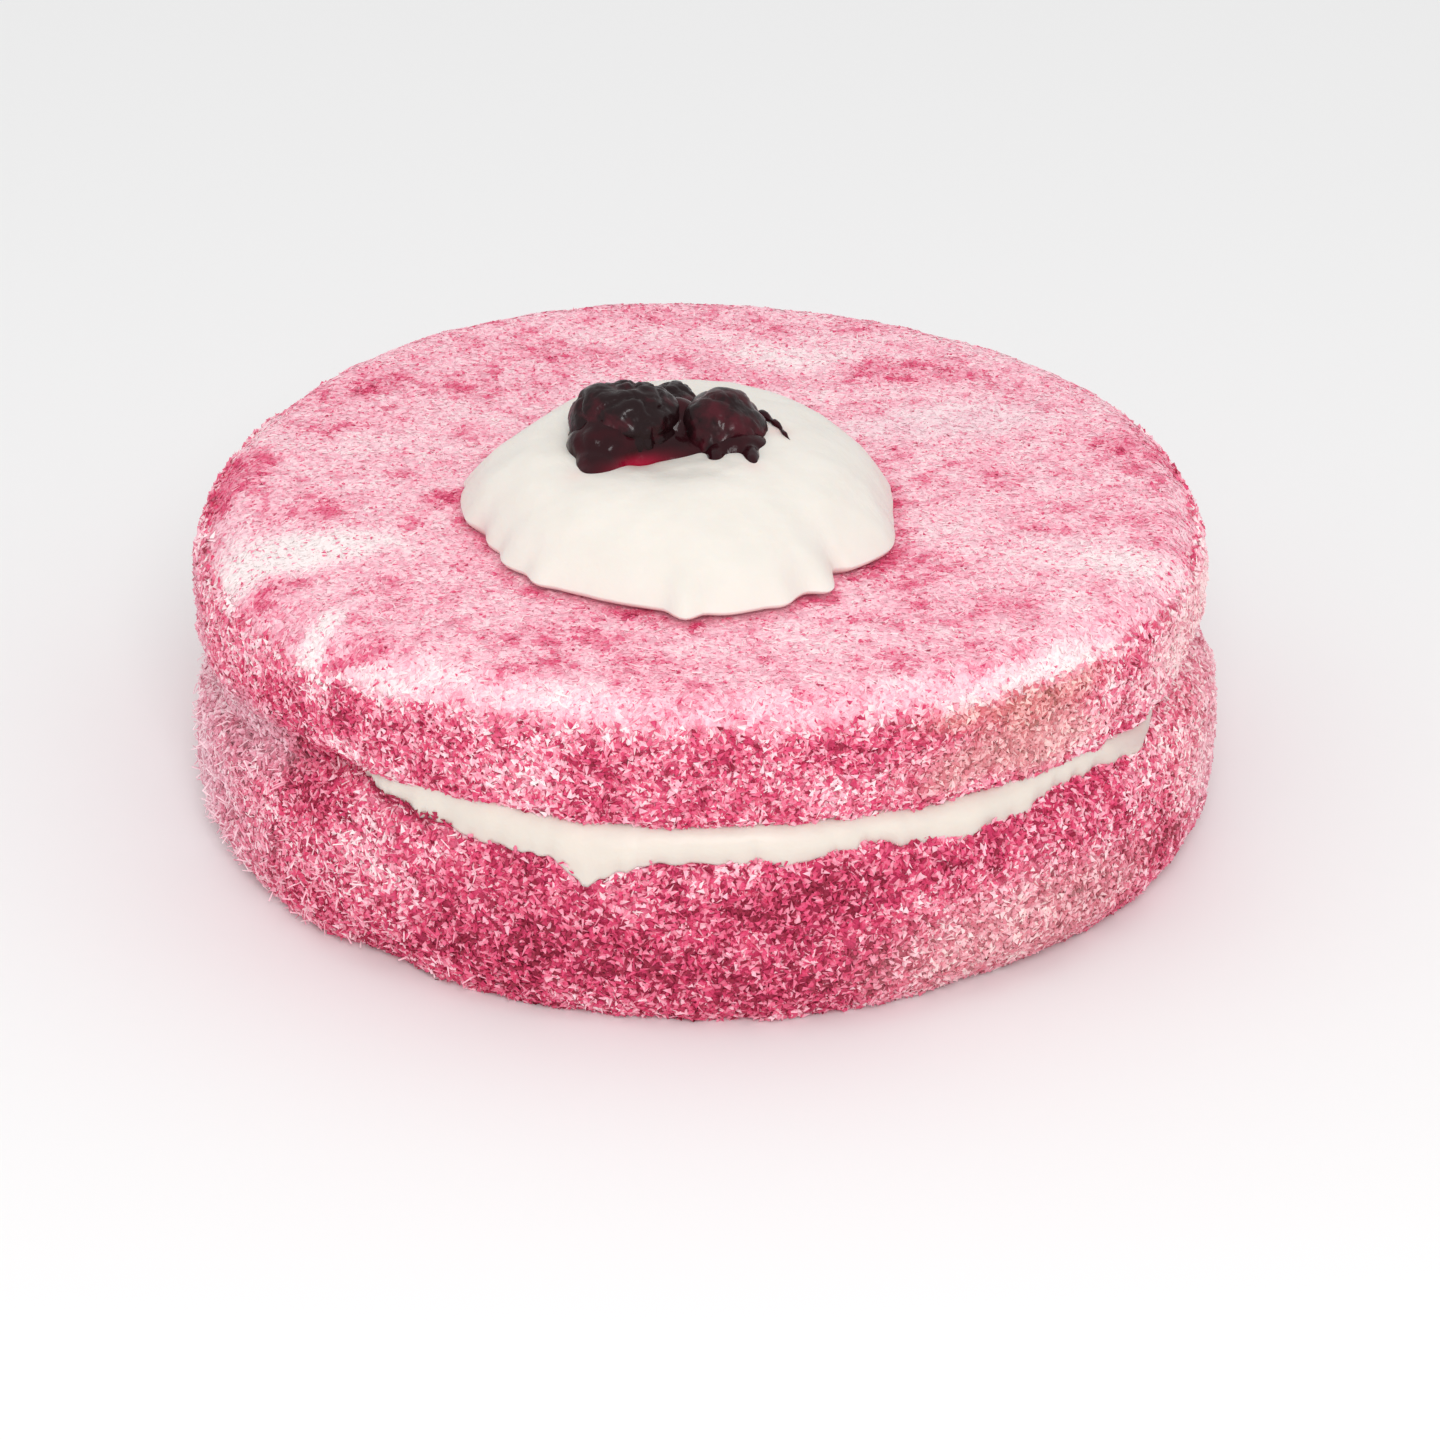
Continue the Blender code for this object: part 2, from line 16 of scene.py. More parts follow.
import bpy
import numpy as np
from mathutils import Euler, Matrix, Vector

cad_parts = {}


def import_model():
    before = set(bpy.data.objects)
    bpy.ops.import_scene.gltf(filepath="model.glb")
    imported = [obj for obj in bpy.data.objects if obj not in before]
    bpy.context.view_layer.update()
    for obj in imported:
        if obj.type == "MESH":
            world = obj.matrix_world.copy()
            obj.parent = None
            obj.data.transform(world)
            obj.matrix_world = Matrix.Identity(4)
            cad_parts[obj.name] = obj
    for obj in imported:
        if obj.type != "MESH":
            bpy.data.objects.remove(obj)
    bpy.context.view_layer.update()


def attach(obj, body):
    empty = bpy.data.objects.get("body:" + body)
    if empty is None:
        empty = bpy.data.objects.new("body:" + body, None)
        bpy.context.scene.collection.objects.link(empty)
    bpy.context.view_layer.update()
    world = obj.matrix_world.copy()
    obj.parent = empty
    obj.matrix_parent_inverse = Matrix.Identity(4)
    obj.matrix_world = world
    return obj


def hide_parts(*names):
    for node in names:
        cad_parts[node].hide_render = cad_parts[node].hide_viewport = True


Array = np.ndarray
Rgb = tuple[float, float, float]
Spot = tuple[float, float]
Piece = bpy.types.Object
Material = bpy.types.Material
Place = Callable[[Array, Array, Array], tuple[Array, Array]]

MM = 0.001
COLOUR_LAYER = "coat_colour"
log = logging.getLogger("snowball_cake")


def smooth_step(low: float, high: float, value: Array) -> Array:
    """Gives 0 up to low, 1 from high, and an even S between them."""
    share = np.clip((value - low) / (high - low), 0.0, 1.0)
    return share * share * (3 - 2 * share)


def turned_away(bearing: Array, centre: float) -> Array:
    """Gives the signed angle from a centre to each bearing."""
    return (bearing - centre + 180) % 360 - 180


def bearings_of(points: Array) -> Array:
    """Gives the bearing of each point."""
    return np.degrees(np.arctan2(points[..., 0], -points[..., 1]))


def radii_of(points: Array) -> Array:
    """Gives each point's distance from the axis."""
    return np.hypot(points[..., 0], points[..., 1])


def round_axis(radius: Array, height: Array, bearing: Array) -> Array:
    """Gives the points at these radii, heights and bearings, with x, y, z on a new last axis."""
    radius, height, turn = np.broadcast_arrays(radius, height, np.radians(bearing))
    return np.stack([radius * np.sin(turn), -radius * np.cos(turn), height], axis=-1)


def unit(vectors: Array) -> Array:
    """Scales each vector to length 1."""
    return vectors / np.maximum(np.linalg.norm(vectors, axis=-1, keepdims=True), 1e-9)


@dataclass(frozen=True)
class Hump:
    """A round rise over a stretch of bearing."""

    bearing: float
    half_width: float
    height: float

    def at(self, bearing: Array) -> Array:
        """Gives the rise: the height at the middle, and 0 beyond the half width."""
        away = np.minimum(np.abs(turned_away(bearing, self.bearing)) / self.half_width, 1)
        return self.height * np.cos(away * np.pi / 2) ** 2


Humps = tuple[Hump, ...]


def rise(humps: Humps, bearing: Array) -> Array:
    """Adds up several humps at each bearing."""
    return sum((hump.at(bearing) for hump in humps), np.zeros_like(bearing, dtype=float))


@dataclass(frozen=True)
class SlowNoise:
    """A smooth random field, up to about its strength either way, the same on each run."""

    seed: int
    grain: float
    strength: float = 1.0
    lattice: int = 32

    def at(self, points: Array) -> Array:
        """Reads the field.

        Args:
            points: Points with x, y, z along the last axis.

        Returns:
            The field's value at each point.
        """
        table = np.random.default_rng(self.seed).uniform(-1, 1, (self.lattice,) * 3)
        scaled = points / self.grain + self.lattice / 2
        corner = np.floor(scaled).astype(int)
        share = scaled - corner
        share = share * share * (3 - 2 * share)
        total = np.zeros(points.shape[:-1])
        for step in np.ndindex(2, 2, 2):
            weight = np.prod(np.where(step, share, 1 - share), axis=-1)
            index = (corner + step) % self.lattice
            total += weight * table[index[..., 0], index[..., 1], index[..., 2]]
        return self.strength * total


Noises = tuple[SlowNoise, ...]


def summed(noises: Noises, points: Array) -> Array:
    """Adds up several fields at each point."""
    return sum(noise.at(points) for noise in noises)


def tinted(share: Array, colour: Rgb) -> Array:
    """Gives white, with a colour mixed in by a share at each point."""
    return 1 + share[:, None] * (np.array(colour) - 1)


def quarter(level_end: Spot, upright_end: Spot, steps: int) -> Array:
    """Draws a quarter ellipse, without its first point.

    Args:
        level_end: Radius and height where it runs level.
        upright_end: Radius and height where it runs upright.
        steps: How many points to give.

    Returns:
        Rows of radius and height, up to and with the upright end.
    """
    turn = np.linspace(0, np.pi / 2, steps + 1)[1:]
    radius = level_end[0] + (upright_end[0] - level_end[0]) * np.sin(turn)
    height = upright_end[1] + (level_end[1] - upright_end[1]) * np.cos(turn)
    return np.stack([radius, height], axis=-1)


def quarter_back(upright_end: Spot, level_end: Spot, steps: int) -> Array:
    """Draws the same from the upright end to the level end, without its first point."""
    return np.vstack([[level_end], quarter(level_end, upright_end, steps)])[-2::-1]


def straight(start: Spot, end: Spot, steps: int) -> Array:
    """Draws a straight line, without its first point."""
    return np.linspace(start, end, steps + 1)[1:]


def traced(start: Spot, *legs: tuple[Callable[[Spot, Spot, int], Array], Spot, int]) -> Array:
    """Draws a profile leg by leg.

    Args:
        start: Radius and height of its first point.
        *legs: What draws each leg, where that ends, and in how many steps.

    Returns:
        Rows of radius and height.
    """
    rows = [np.array([start])]
    for drawn, end, steps in legs:
        rows.append(drawn(rows[-1][-1], end, steps))
    return np.vstack(rows)


def own_colours(mesh: bpy.types.Mesh, colours: Array) -> None:
    """Keeps red, green and blue for each point of a mesh.

    Args:
        mesh: The mesh.
        colours: A row for each point.
    """
    kept = mesh.color_attributes.new(COLOUR_LAYER, "FLOAT_COLOR", "POINT")
    opaque = np.concatenate([colours, np.ones((len(colours), 1))], axis=1)
    kept.data.foreach_set("color", opaque.astype(np.float32).ravel())


def dressed(piece: Piece, node: str) -> Piece:
    """Hands a piece to the frame.

    Args:
        piece: The piece.
        node: The solid that it replaces.

    Returns:
        The piece.
    """
    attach(piece, "root")
    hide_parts(node)
    return piece


@dataclass
class Skin:
    """A closed surface as arrays, in millimetres."""

    points: Array
    triangles: Array

    @classmethod
    def closed(cls, first: Array, rings: Array, last: Array) -> Skin:
        """Joins rings of points to a closed surface.

        Args:
            first: The point before the first ring.
            rings: The points, by ring and by step round it.
            last: The point after the last ring.

        Returns:
            The surface.
        """
        steps = rings.shape[1]
        points = np.vstack([first, rings.reshape(-1, 3), last])
        here = np.arange(steps)
        on = (here + 1) % steps
        end = len(points) - 1
        bottom = end - steps
        parts = [np.stack([0 * here, 1 + here, 1 + on], axis=-1)]
        for upper in range(1, bottom, steps):
            lower = upper + steps
            parts.append(np.stack([upper + here, lower + here, lower + on], axis=-1))
            parts.append(np.stack([upper + here, lower + on, upper + on], axis=-1))
        parts.append(np.stack([end + 0 * here, bottom + on, bottom + here], axis=-1))
        return cls(points, np.vstack(parts))

    @classmethod
    def turned(cls, profile: Array, steps: int, place: Place) -> Skin:
        """Turns a profile round the axis, and moves its points.

        Args:
            profile: Rows of radius and height, down the outside from axis to axis.
            steps: Steps round the axis.
            place: Gives the final radius and height for a radius, height and bearing.

        Returns:
            The closed surface.
        """
        bearing = np.arange(steps)[None, :] * 360 / steps
        rings = round_axis(*place(profile[:, :1], profile[:, 1:], bearing), bearing)
        return cls.closed(rings[0].mean(0), rings[1:-1], rings[-1].mean(0))

    def face_normals(self) -> Array:
        """Gives each triangle's normal, as long as twice its area."""
        a, b, c = (self.points[self.triangles[:, i]] for i in range(3))
        return np.cross(b - a, c - a)

    def normals(self) -> Array:
        """Gives each point's normal.

        Returns:
            Rows of length 1.
        """
        total = np.zeros_like(self.points)
        faces = self.face_normals()
        for corner in range(3):
            np.add.at(total, self.triangles[:, corner], faces)
        return unit(total)

    def swollen(self, amount: Array | float) -> Skin:
        """Moves each point along its normal."""
        shift = np.broadcast_to(amount, len(self.points))[:, None]
        return Skin(self.points + self.normals() * shift, self.triangles)

    def scattered(
        self, count: int, weight: Array, rng: np.random.Generator
    ) -> tuple[Array, Array]:
        """Picks random places on the surface.

        Args:
            count: How many.
            weight: How thickly they lie, for each point of the surface.
            rng: The source of the draws.

        Returns:
            The places and the normals there.
        """
        area = np.linalg.norm(self.face_normals(), axis=1)
        area *= weight[self.triangles].mean(axis=1)
        chosen = rng.choice(len(self.triangles), count, p=area / area.sum())
        corners = self.triangles[chosen]
        shares = rng.dirichlet((1, 1, 1), count)[:, :, None]
        places = (self.points[corners] * shares).sum(axis=1)
        return places, unit((self.normals()[corners] * shares).sum(axis=1))

    def to_piece(
        self, name: str, material: Material, colours: Array | None = None, smooth: bool = True
    ) -> Piece:
        """Makes the object.

        Args:
            name: The piece's name.
            material: Its material.
            colours: Red, green and blue for each point, kept as the mesh's own colours.
            smooth: Whether it is shaded smooth.

        Returns:
            The object, linked to the scene.
        """
        mesh = bpy.data.meshes.new(name)
        mesh.from_pydata(self.points * MM, [], self.triangles, shade_flat=not smooth)
        mesh.materials.append(material)
        if colours is not None:
            own_colours(mesh, colours)
        mesh.validate()
        piece = bpy.data.objects.new(name, mesh)
        bpy.context.scene.collection.objects.link(piece)
        return piece


class Value:
    """A number that a shader node gives. Arithmetic on it adds Math nodes."""

    def __init__(self, paint: Paint, socket: bpy.types.NodeSocket) -> None:
        """Wraps an output socket of a material."""
        self.paint, self.socket = paint, socket

    def joined(self, operation: str, *operands: Value | float) -> Value:
        """Adds a Math node on these operands, and gives its output."""
        inputs = dict(enumerate(operands))
        return self.paint.value("ShaderNodeMath", {"operation": operation}, inputs)

    def __add__(self, other: Value | float) -> Value:
        """Adds."""
        return self.joined("ADD", self, other)

    __radd__ = __add__

    def __sub__(self, other: Value | float) -> Value:
        """Subtracts."""
        return self.joined("SUBTRACT", self, other)

    def __rsub__(self, other: Value | float) -> Value:
        """Subtracts from a number."""
        return self.joined("SUBTRACT", other, self)

    def __mul__(self, other: Value | float) -> Value:
        """Multiplies."""
        return self.joined("MULTIPLY", self, other)

    __rmul__ = __mul__

    def over(self, low: float, high: float) -> Value:
        """Gives 0 at low and 1 at high, cut off beyond them."""
        sockets = {"Value": self, "From Min": low, "From Max": high}
        return self.paint.value("ShaderNodeMapRange", {"clamp": True}, sockets)


class Paint:
    """A node material on one Principled shader."""

    def __init__(self, name: str, **fixed: Any) -> None:
        """Starts the material.

        Args:
            name: The material's name.
            **fixed: The Principled sockets that are the same all over, with _ for a space.
        """
        self.material = bpy.data.materials.new(name)
        self.material.use_nodes = True
        self.tree = self.material.node_tree
        self.shader = self.tree.nodes["Principled BSDF"]
        for socket, value in fixed.items():
            self.shader.inputs[socket.replace("_", " ")].default_value = value

    def add(
        self, kind: str, settings: dict[str, Any] | None, sockets: dict[str | int, Any]
    ) -> bpy.types.Node:
        """Adds a node: its settings first, then its sockets.

        Args:
            kind: The node's type.
            settings: Its properties.
            sockets: A number, a colour or a link for each socket, by name or number.

        Returns:
            The node.
        """
        node = self.tree.nodes.new(kind)
        for setting, value in (settings or {}).items():
            setattr(node, setting, value)
        for socket, value in sockets.items():
            self.feed(node.inputs[socket], value)
        return node

    def feed(self, socket: bpy.types.NodeSocket, value: Any) -> None:
        """Links an input socket, or sets its value.

        Args:
            socket: The input socket.
            value: A Value, an output socket, a number or a colour.
        """
        if isinstance(value, Value):
            value = value.socket
        if isinstance(value, bpy.types.NodeSocket):
            self.tree.links.new(value, socket)
        elif isinstance(value, tuple) and socket.type == "RGBA":
            socket.default_value = (*value, 1)
        else:
            socket.default_value = value

    def put(self, **varying: Any) -> None:
        """Feeds the shader's sockets that vary over the surface, with _ for a space."""
        for socket, value in varying.items():
            self.feed(self.shader.inputs[socket.replace("_", " ")], value)

    def value(
        self, kind: str, settings: dict[str, Any] | None, sockets: dict[str | int, Any]
    ) -> Value:
        """Adds a node and gives its first output as a number."""
        return Value(self, self.add(kind, settings, sockets).outputs[0])

    def own_colour(self) -> bpy.types.NodeSocket:
        """Adds the mesh's own colours."""
        return self.add("ShaderNodeVertexColor", {"layer_name": COLOUR_LAYER}, {}).outputs[0]

    def noise(self, size: float, detail: float = 2, roughness: float = 0.5) -> Value:
        """Adds a noise over the object's own space.

        Args:
            size: About how far apart its lumps are, in millimetres.
            detail: How many finer layers it has.
            roughness: How strong they are.

        Returns:
            The noise, from 0 to 1.
        """
        where = self.add("ShaderNodeTexCoord", None, {}).outputs["Object"]
        scale = 1 / (size * MM)
        sockets = {"Vector": where, "Scale": scale, "Detail": detail, "Roughness": roughness}
        return self.value("ShaderNodeTexNoise", None, sockets)

    def mix(
        self, share: Value | float, low: Any, high: Any, blend: str = "MIX"
    ) -> bpy.types.NodeSocket:
        """Mixes two colours by a share, or blends them in another way."""
        settings = {"data_type": "RGBA", "blend_type": blend}
        return self.add("ShaderNodeMix", settings, {0: share, 6: low, 7: high}).outputs[2]

    def bump(self, height: Value, depth: float, strength: float = 1) -> None:
        """Gives the surface a relief from 0 to 1. 1 stands as high as depth, in millimetres."""
        sockets = {"Height": height, "Distance": depth * MM, "Strength": strength}
        self.put(Normal=self.add("ShaderNodeBump", None, sockets).outputs[0])


@dataclass(frozen=True)
class CoatFinish:
    """Coconut: each shred keeps its own colour, with a fine grain along it.

    The painted glow, a faint emission in each shred's own colour, stands for light that the pale bits
    let through.
    """

    name: str = "coconut_shreds"
    grain: float = 0.6
    grain_edges: Spot = (0.45, 0.65)
    grain_contrast: float = 0.35
    roughness: float = 0.75
    painted_glow: float = 0.025

    def made(self) -> Material:
        """Makes the material.

        Returns:
            The material.
        """
        # painted light: a faint emission in the shred's own colour lifts its shade
        paint = Paint(self.name, Roughness=self.roughness, Emission_Strength=self.painted_glow)
        shred = paint.own_colour()
        share = paint.noise(self.grain, 1).over(*self.grain_edges) * self.grain_contrast
        darker = paint.mix(1.0, shred, shred, "MULTIPLY")
        paint.put(Base_Color=paint.mix(share, shred, darker), Emission_Color=shred)
        return paint.material


@dataclass(frozen=True)
class SpongeFinish:
    """What shows between the shreds: moist coconut crumb, stained, with the coat's painted glow."""

    name: str = "stained_crumb"
    speck: float = 0.9
    crimson: Rgb = (0.42, 0.015, 0.06)
    specks: Spot = (0.60, 0.72)
    speck_share: float = 0.8
    roughness: float = 0.7
    painted_glow: float = 0.025
    relief: float = 0.6

    def made(self) -> Material:
        """Makes the material.

        Returns:
            The material.
        """
        # painted light: a faint emission in the crumb's own colour lifts the shade between the shreds
        paint = Paint(self.name, Roughness=self.roughness, Emission_Strength=self.painted_glow)
        specks = paint.noise(self.speck, 2, 0.6).over(*self.specks)
        stained = paint.mix(specks * self.speck_share, paint.own_colour(), self.crimson)
        paint.put(Base_Color=stained, Emission_Color=stained)
        paint.bump(paint.noise(self.speck, 3, 0.7), self.relief)
        return paint.material


@dataclass(frozen=True)
class CreamFinish:
    """Whipped cream: soft, a little see-through, with a faint tint where it meets the coat."""

    name: str = "whipped_cream"
    cream: Rgb = (0.845, 0.80, 0.735)
    shade: Rgb = (0.82, 0.775, 0.71)
    softness: float = 9.0
    roughness: float = 0.32
    glow_depth: float = 2.5

    def made(self) -> Material:
        """Makes the material.

        Returns:
            The material.
        """
        paint = Paint(
            self.name,
            Subsurface_Weight=0.35,
            Subsurface_Radius=(1.0, 0.75, 0.6),
            Subsurface_Scale=self.glow_depth * MM,
        )
        cloud = paint.mix(paint.noise(self.softness).over(0.35, 0.7), self.cream, self.shade)
        tinted = paint.mix(1.0, cloud, paint.own_colour(), "MULTIPLY")
        paint.put(Base_Color=tinted, Roughness=paint.noise(4.0, 3) * 0.2 + self.roughness)
        paint.bump(paint.noise(3.0, 3, 0.45), 0.35, 0.6)
        return paint.material


@dataclass(frozen=True)
class BerryFinish:
    """A wet dark berry: near-black skin with wine-red patches under a glossy syrup."""

    name: str
    skin: Rgb = (0.014, 0.004, 0.005)
    wine: Rgb = (0.065, 0.006, 0.012)
    wine_share: Spot = (0.52, 0.72)
    wrinkle: float = 2.2

    def made(self) -> Material:
        """Makes the material.

        Returns:
            The material.
        """
        paint = Paint(self.name, Coat_Weight=0.22, Coat_Roughness=0.07, Specular_IOR_Level=0.10)
        patches = paint.noise(self.wrinkle * 2.4, 3, 0.55).over(*self.wine_share)
        creases = paint.noise(self.wrinkle, 2, 0.5)
        paint.put(
            Base_Color=paint.mix(patches, self.skin, self.wine),
            Roughness=creases.over(0.3, 0.7) * 0.3 + 0.18,
        )
        paint.bump(creases, 0.7, 0.6)
        return paint.material


@dataclass(frozen=True)
class JamFinish:
    """Clear dark red jam, redder where it lies thin."""

    name: str = "berry_jam"
    deep: Rgb = (0.022, 0.003, 0.005)
    thin: Rgb = (0.38, 0.005, 0.035)
    cloud: float = 0.2

    def made(self) -> Material:
        """Makes the material.

        Returns:
            The material.
        """
        paint = Paint(
            self.name, Coat_Weight=0.12, Coat_Roughness=0.04, Roughness=0.22, Specular_IOR_Level=0.12
        )
        thin = paint.value("ShaderNodeSeparateColor", None, {0: paint.own_colour()})
        share = thin + paint.noise(5.0, 2) * self.cloud - self.cloud / 2
        paint.put(Base_Color=paint.mix(share, self.deep, self.thin))
        paint.bump(paint.noise(2.4, 3), 0.5, 0.7)
        return paint.material


@dataclass(frozen=True)
class FloorFinish:
    """The plain pale floor."""

    name: str = "pale_floor"
    colour: Rgb = (0.93, 0.93, 0.93)
    lighter: Rgb = (0.9579, 0.9579, 0.9579)

    def made(self) -> Material:
        """Makes the material.

        Returns:
            The material.
        """
        paint = Paint(self.name, Roughness=0.9, Specular_IOR_Level=0.1)
        paint.put(Base_Color=paint.mix(paint.noise(400.0, 1) * 0.04, self.colour, self.lighter))
        return paint.material


@dataclass(frozen=True)
class Form:
    """The sizes that the layers and the filling share."""

    radius: float = 100.0
    lower_radius: float = 102.0
    lower_shift: float = 1.5
    height: float = 65.8
    seam: float = 40.2
    gap: float = 0.35
    filling: float = 4.5
    rim_stray: float = 1.1
    top_edge: Spot = (11.0, 9.5)
    seam_edge: Spot = (6.0, 3.2)
    shoulder: Spot = (11.0, 15.0)
    foot_edge: Spot = (7.5, 13.5)
    sags: Humps = (Hump(-88, 54, 9.2), Hump(70, 16, -2.2), Hump(104, 36, 4), Hump(205, 50, 3))
    sag_starts: float = 60.0
    sag_ends: float = 91.0
    rim_starts: float = 96.0
    droops: Humps = (Hump(-72, 42, 4.5), Hump(-114, 22, 1.2), Hump(-162, 42, -1.2))
    droop_starts: float = 70.0
    pinch: float = 2.6
    pinch_reach: float = 8.0
    tucks: Humps = (Hump(37, 30, 3.6), Hump(-38, 9, 2.6), Hump(160, 30, 3.0))
    tuck_reach: float = 12.0
    shows: tuple[Spot, ...] = ((13.5, 64.5), (137, 34), (228, 30))
    show_fade: float = 17.0

    def sag_at(self, radius: Array | float, bearing: Array) -> Array:
        """Gives how far the seam lies below its height at the middle."""
        share = (radius - self.sag_starts) / (self.sag_ends - self.sag_starts)
        return rise(self.sags, bearing) * np.clip(share, 0.0, 1.0)

    def shown(self, bearing: Array) -> Array:
        """Gives how much the filling comes out to the rim.

        Args:
            bearing: Bearings.

        Returns:
            1 where it comes out, and 0 where the coat hides it.
        """
        total = np.zeros_like(bearing, dtype=float)
        for centre, half in self.shows:
            away = np.abs(turned_away(bearing, centre))
            total = np.maximum(total, 1 - smooth_step(half - self.show_fade, half + 1, away))
        return total

    def at_rim(
        self, radius: Array, bearing: Array, seed: int, from_seam: Array, shift: Array | float = 0
    ) -> Array:
        """Lets the rim stray from a true circle, and draws it in to the seam's groove.

        Args:
            radius: Distances from the axis.
            bearing: Bearings.
            seed: Which layer's stray.
            from_seam: Heights from the seam.
            shift: How much further out the rim lies.

        Returns:
            The new distances.
        """
        stray = SlowNoise(seed, 1.0, self.rim_stray).at(round_axis(2.0, float(seed), bearing))
        near = 1 - smooth_step(0, self.pinch_reach, from_seam)
        groove = self.pinch * near * (1 - self.shown(bearing))
        rim = smooth_step(self.sag_ends, self.rim_starts, radius)
        return radius + rim * (stray + shift - groove)

    def shoulder_radius(self, height: Array) -> Array:
        """Gives the lower layer's radius at a height on its round shoulder."""
        share = np.clip((height - self.seam) / self.shoulder[1] + 1, 0.0, 1.0)
        return self.lower_radius - self.shoulder[0] * (1 - np.sqrt(1 - share**2))


class Region(Enum):
    """The parts of the coat, each with how pale it is, partly painted shade, and how far its noises
    shift that.
    """

    # partly the coat's own tone, partly painted shade: the sides are deeper than the top, and the lower
    # side deepest, as less light reaches them
    TOP = ("top", 0.755, 0.065, 0.08)
    UPPER_SIDE = ("upper_side", 0.535, 0.13, 0.17)
    LOWER_SIDE = ("lower_side", 0.43, 0.13, 0.17)

    def __init__(self, label: str, base: float, blotch: float, mottle: float) -> None:
        """Keeps the values by name."""
        self.label, self.base, self.blotch, self.mottle = label, base, blotch, mottle


@dataclass(frozen=True)
class Stain:
    """A patch of the coat that differs from what is round it.

    Its place and reach are x and y on the top, and bearing and height on a side.
    """

    place: Spot
    reach: Spot
    turn: float = 0.0
    paler: float = 0.0
    mauve: float = 0.0
    toasted: float = 0.0

    def share(self, across: Array, along: Array) -> Array:
        """Gives how strongly it shows, from 0 to 1.

        Args:
            across: The first coordinate, less that of the place.
            along: The second coordinate, less that of the place.

        Returns:
            The share at each point.
        """
        turn = np.radians(self.turn)
        first = (across * np.cos(turn) + along * np.sin(turn)) / self.reach[0]
        second = (along * np.cos(turn) - across * np.sin(turn)) / self.reach[1]
        return np.exp(-((first**2 + second**2) ** 2))


def stains(*rows: tuple[Any, ...]) -> tuple[Stain, ...]:
    """Makes a stain from each row: place, reach, turn, paler, mauve and toasted."""
    return tuple(Stain(*row) for row in rows)


TOP_STAINS = stains(
    ((-76, -31), (18, 8), 4, 0.34),
    ((-73, -67), (16, 3.4), 54, 0.27),
    ((-60, -71), (7, 2.2), -5, -0.16),
    ((-56, -79), (17, 4), -24, 0.16),
    ((-27, -90), (18, 3.5), -10, 0.12),
    ((88, -35), (13, 6), 0, 0.18),
    ((50, 32), (22, 9), 15, 0.10, 0.3),
    ((20, 65), (16, 8), 0, 0.16),
    ((-92, -36), (6, 26), -8, 0.08),
    ((62, -76), (22, 5), 42, 0.25),
    ((-93, 6), (8, 13), 0, -0.23),
    ((-77, 43), (13, 8), 20, -0.08),
    ((-54, 47), (14, 6), 0, -0.07),
    ((0, -86), (40, 10), 0, -0.06),
    ((-87, -47), (12, 5), 10, -0.20),
    ((-49, -10), (6, 4), 0, -0.19),
    ((-30, -71), (20, 5), 0, -0.08),
    ((38, -36), (10, 7), 0, -0.14),
    ((45, -57), (18, 6), 10, -0.11),
    ((42, 58), (16, 7), 0, -0.16),
    ((88, 24), (8, 12), 0, -0.13),
    ((-30, 66), (15, 6), 0, -0.09),
    ((-14, 84), (18, 5), 0, -0.09),
)
SIDE_STAINS = stains(
    ((-86, 22), (19, 26), 0, 0.24, 0.5),
    ((-66, 14), (13, 15), 0, 0.13, 0.3),
    ((-84, 48), (16, 14), 0, 0.04, 0.1),
    ((-60, 35), (9, 8), 0, 0.12, 0.5),
    ((-36, 51), (15, 7), 0, -0.19),
    ((-47, 33), (10, 6), 0, -0.20),
    ((-38, 43), (6, 2.5), 0, 0.14),
    ((-29, 17), (16, 11), 0, -0.12),
    ((0, 14), (26, 9), 0, -0.10),
    ((38, 12), (18, 12), 0, 0.10, 0.3, 0.2),
    ((12, 28), (13, 5), 0, -0.16),
    ((57, 30), (12, 8), 0, 0.12),
    ((-40, 56), (24, 12), 0, 0.18),
    ((-38, 26), (20, 12), 0, 0.20),
    ((76, 27), (18, 16), 0, 0.23, 0, 0.1),
    ((37, 59), (13, 6), 0, 0.06, 0, 0.46),
    ((37, 49), (14, 5), 0, 0.03, 0.3, 0.34),
    ((17, 57), (12, 6), 0, -0.16),
    ((70, 53), (14, 9), 15, 0.36, 0.4, 0.15),
    ((84, 20), (16, 18), 0, 0.16, 0.5),
    ((92, 52), (18, 14), 0, 0.30),
)


@dataclass(frozen=True)
class Palette:
    """The coat's colours, from the deepest to the palest, and two that are mixed in."""

    ramp: tuple[Rgb, ...] = (
        (0.30, 0.010, 0.042),
        (0.74, 0.048, 0.165),
        (0.83, 0.225, 0.345),
        (0.97, 0.57, 0.66),
        (0.97, 0.87, 0.865),
    )
    mauve: Rgb = (0.80, 0.55, 0.62)
    toasted: Rgb = (0.76, 0.44, 0.31)
    tint_strength: Spot = (0.75, 1.15)

    def colours(self, look: Array) -> Array:
        """Gives a colour for each point.

        Args:
            look: Rows of how pale, how mauve and how toasted the points are.

        Returns:
            Rows of red, green and blue.
        """
        pale = np.clip(look[0], 0, 1)
        stops = np.linspace(0, 1, len(self.ramp))
        mixed = np.stack([np.interp(pale, stops, channel) for channel in zip(*self.ramp)], axis=-1)
        strength = np.interp(pale, (0, 1), self.tint_strength)[:, None]
        for colour, share in zip((self.mauve, self.toasted), look[1:]):
            mixed += (np.array(colour) * strength - mixed) * np.clip(share, 0, 1)[:, None]
        return np.clip(mixed, 0, 1)


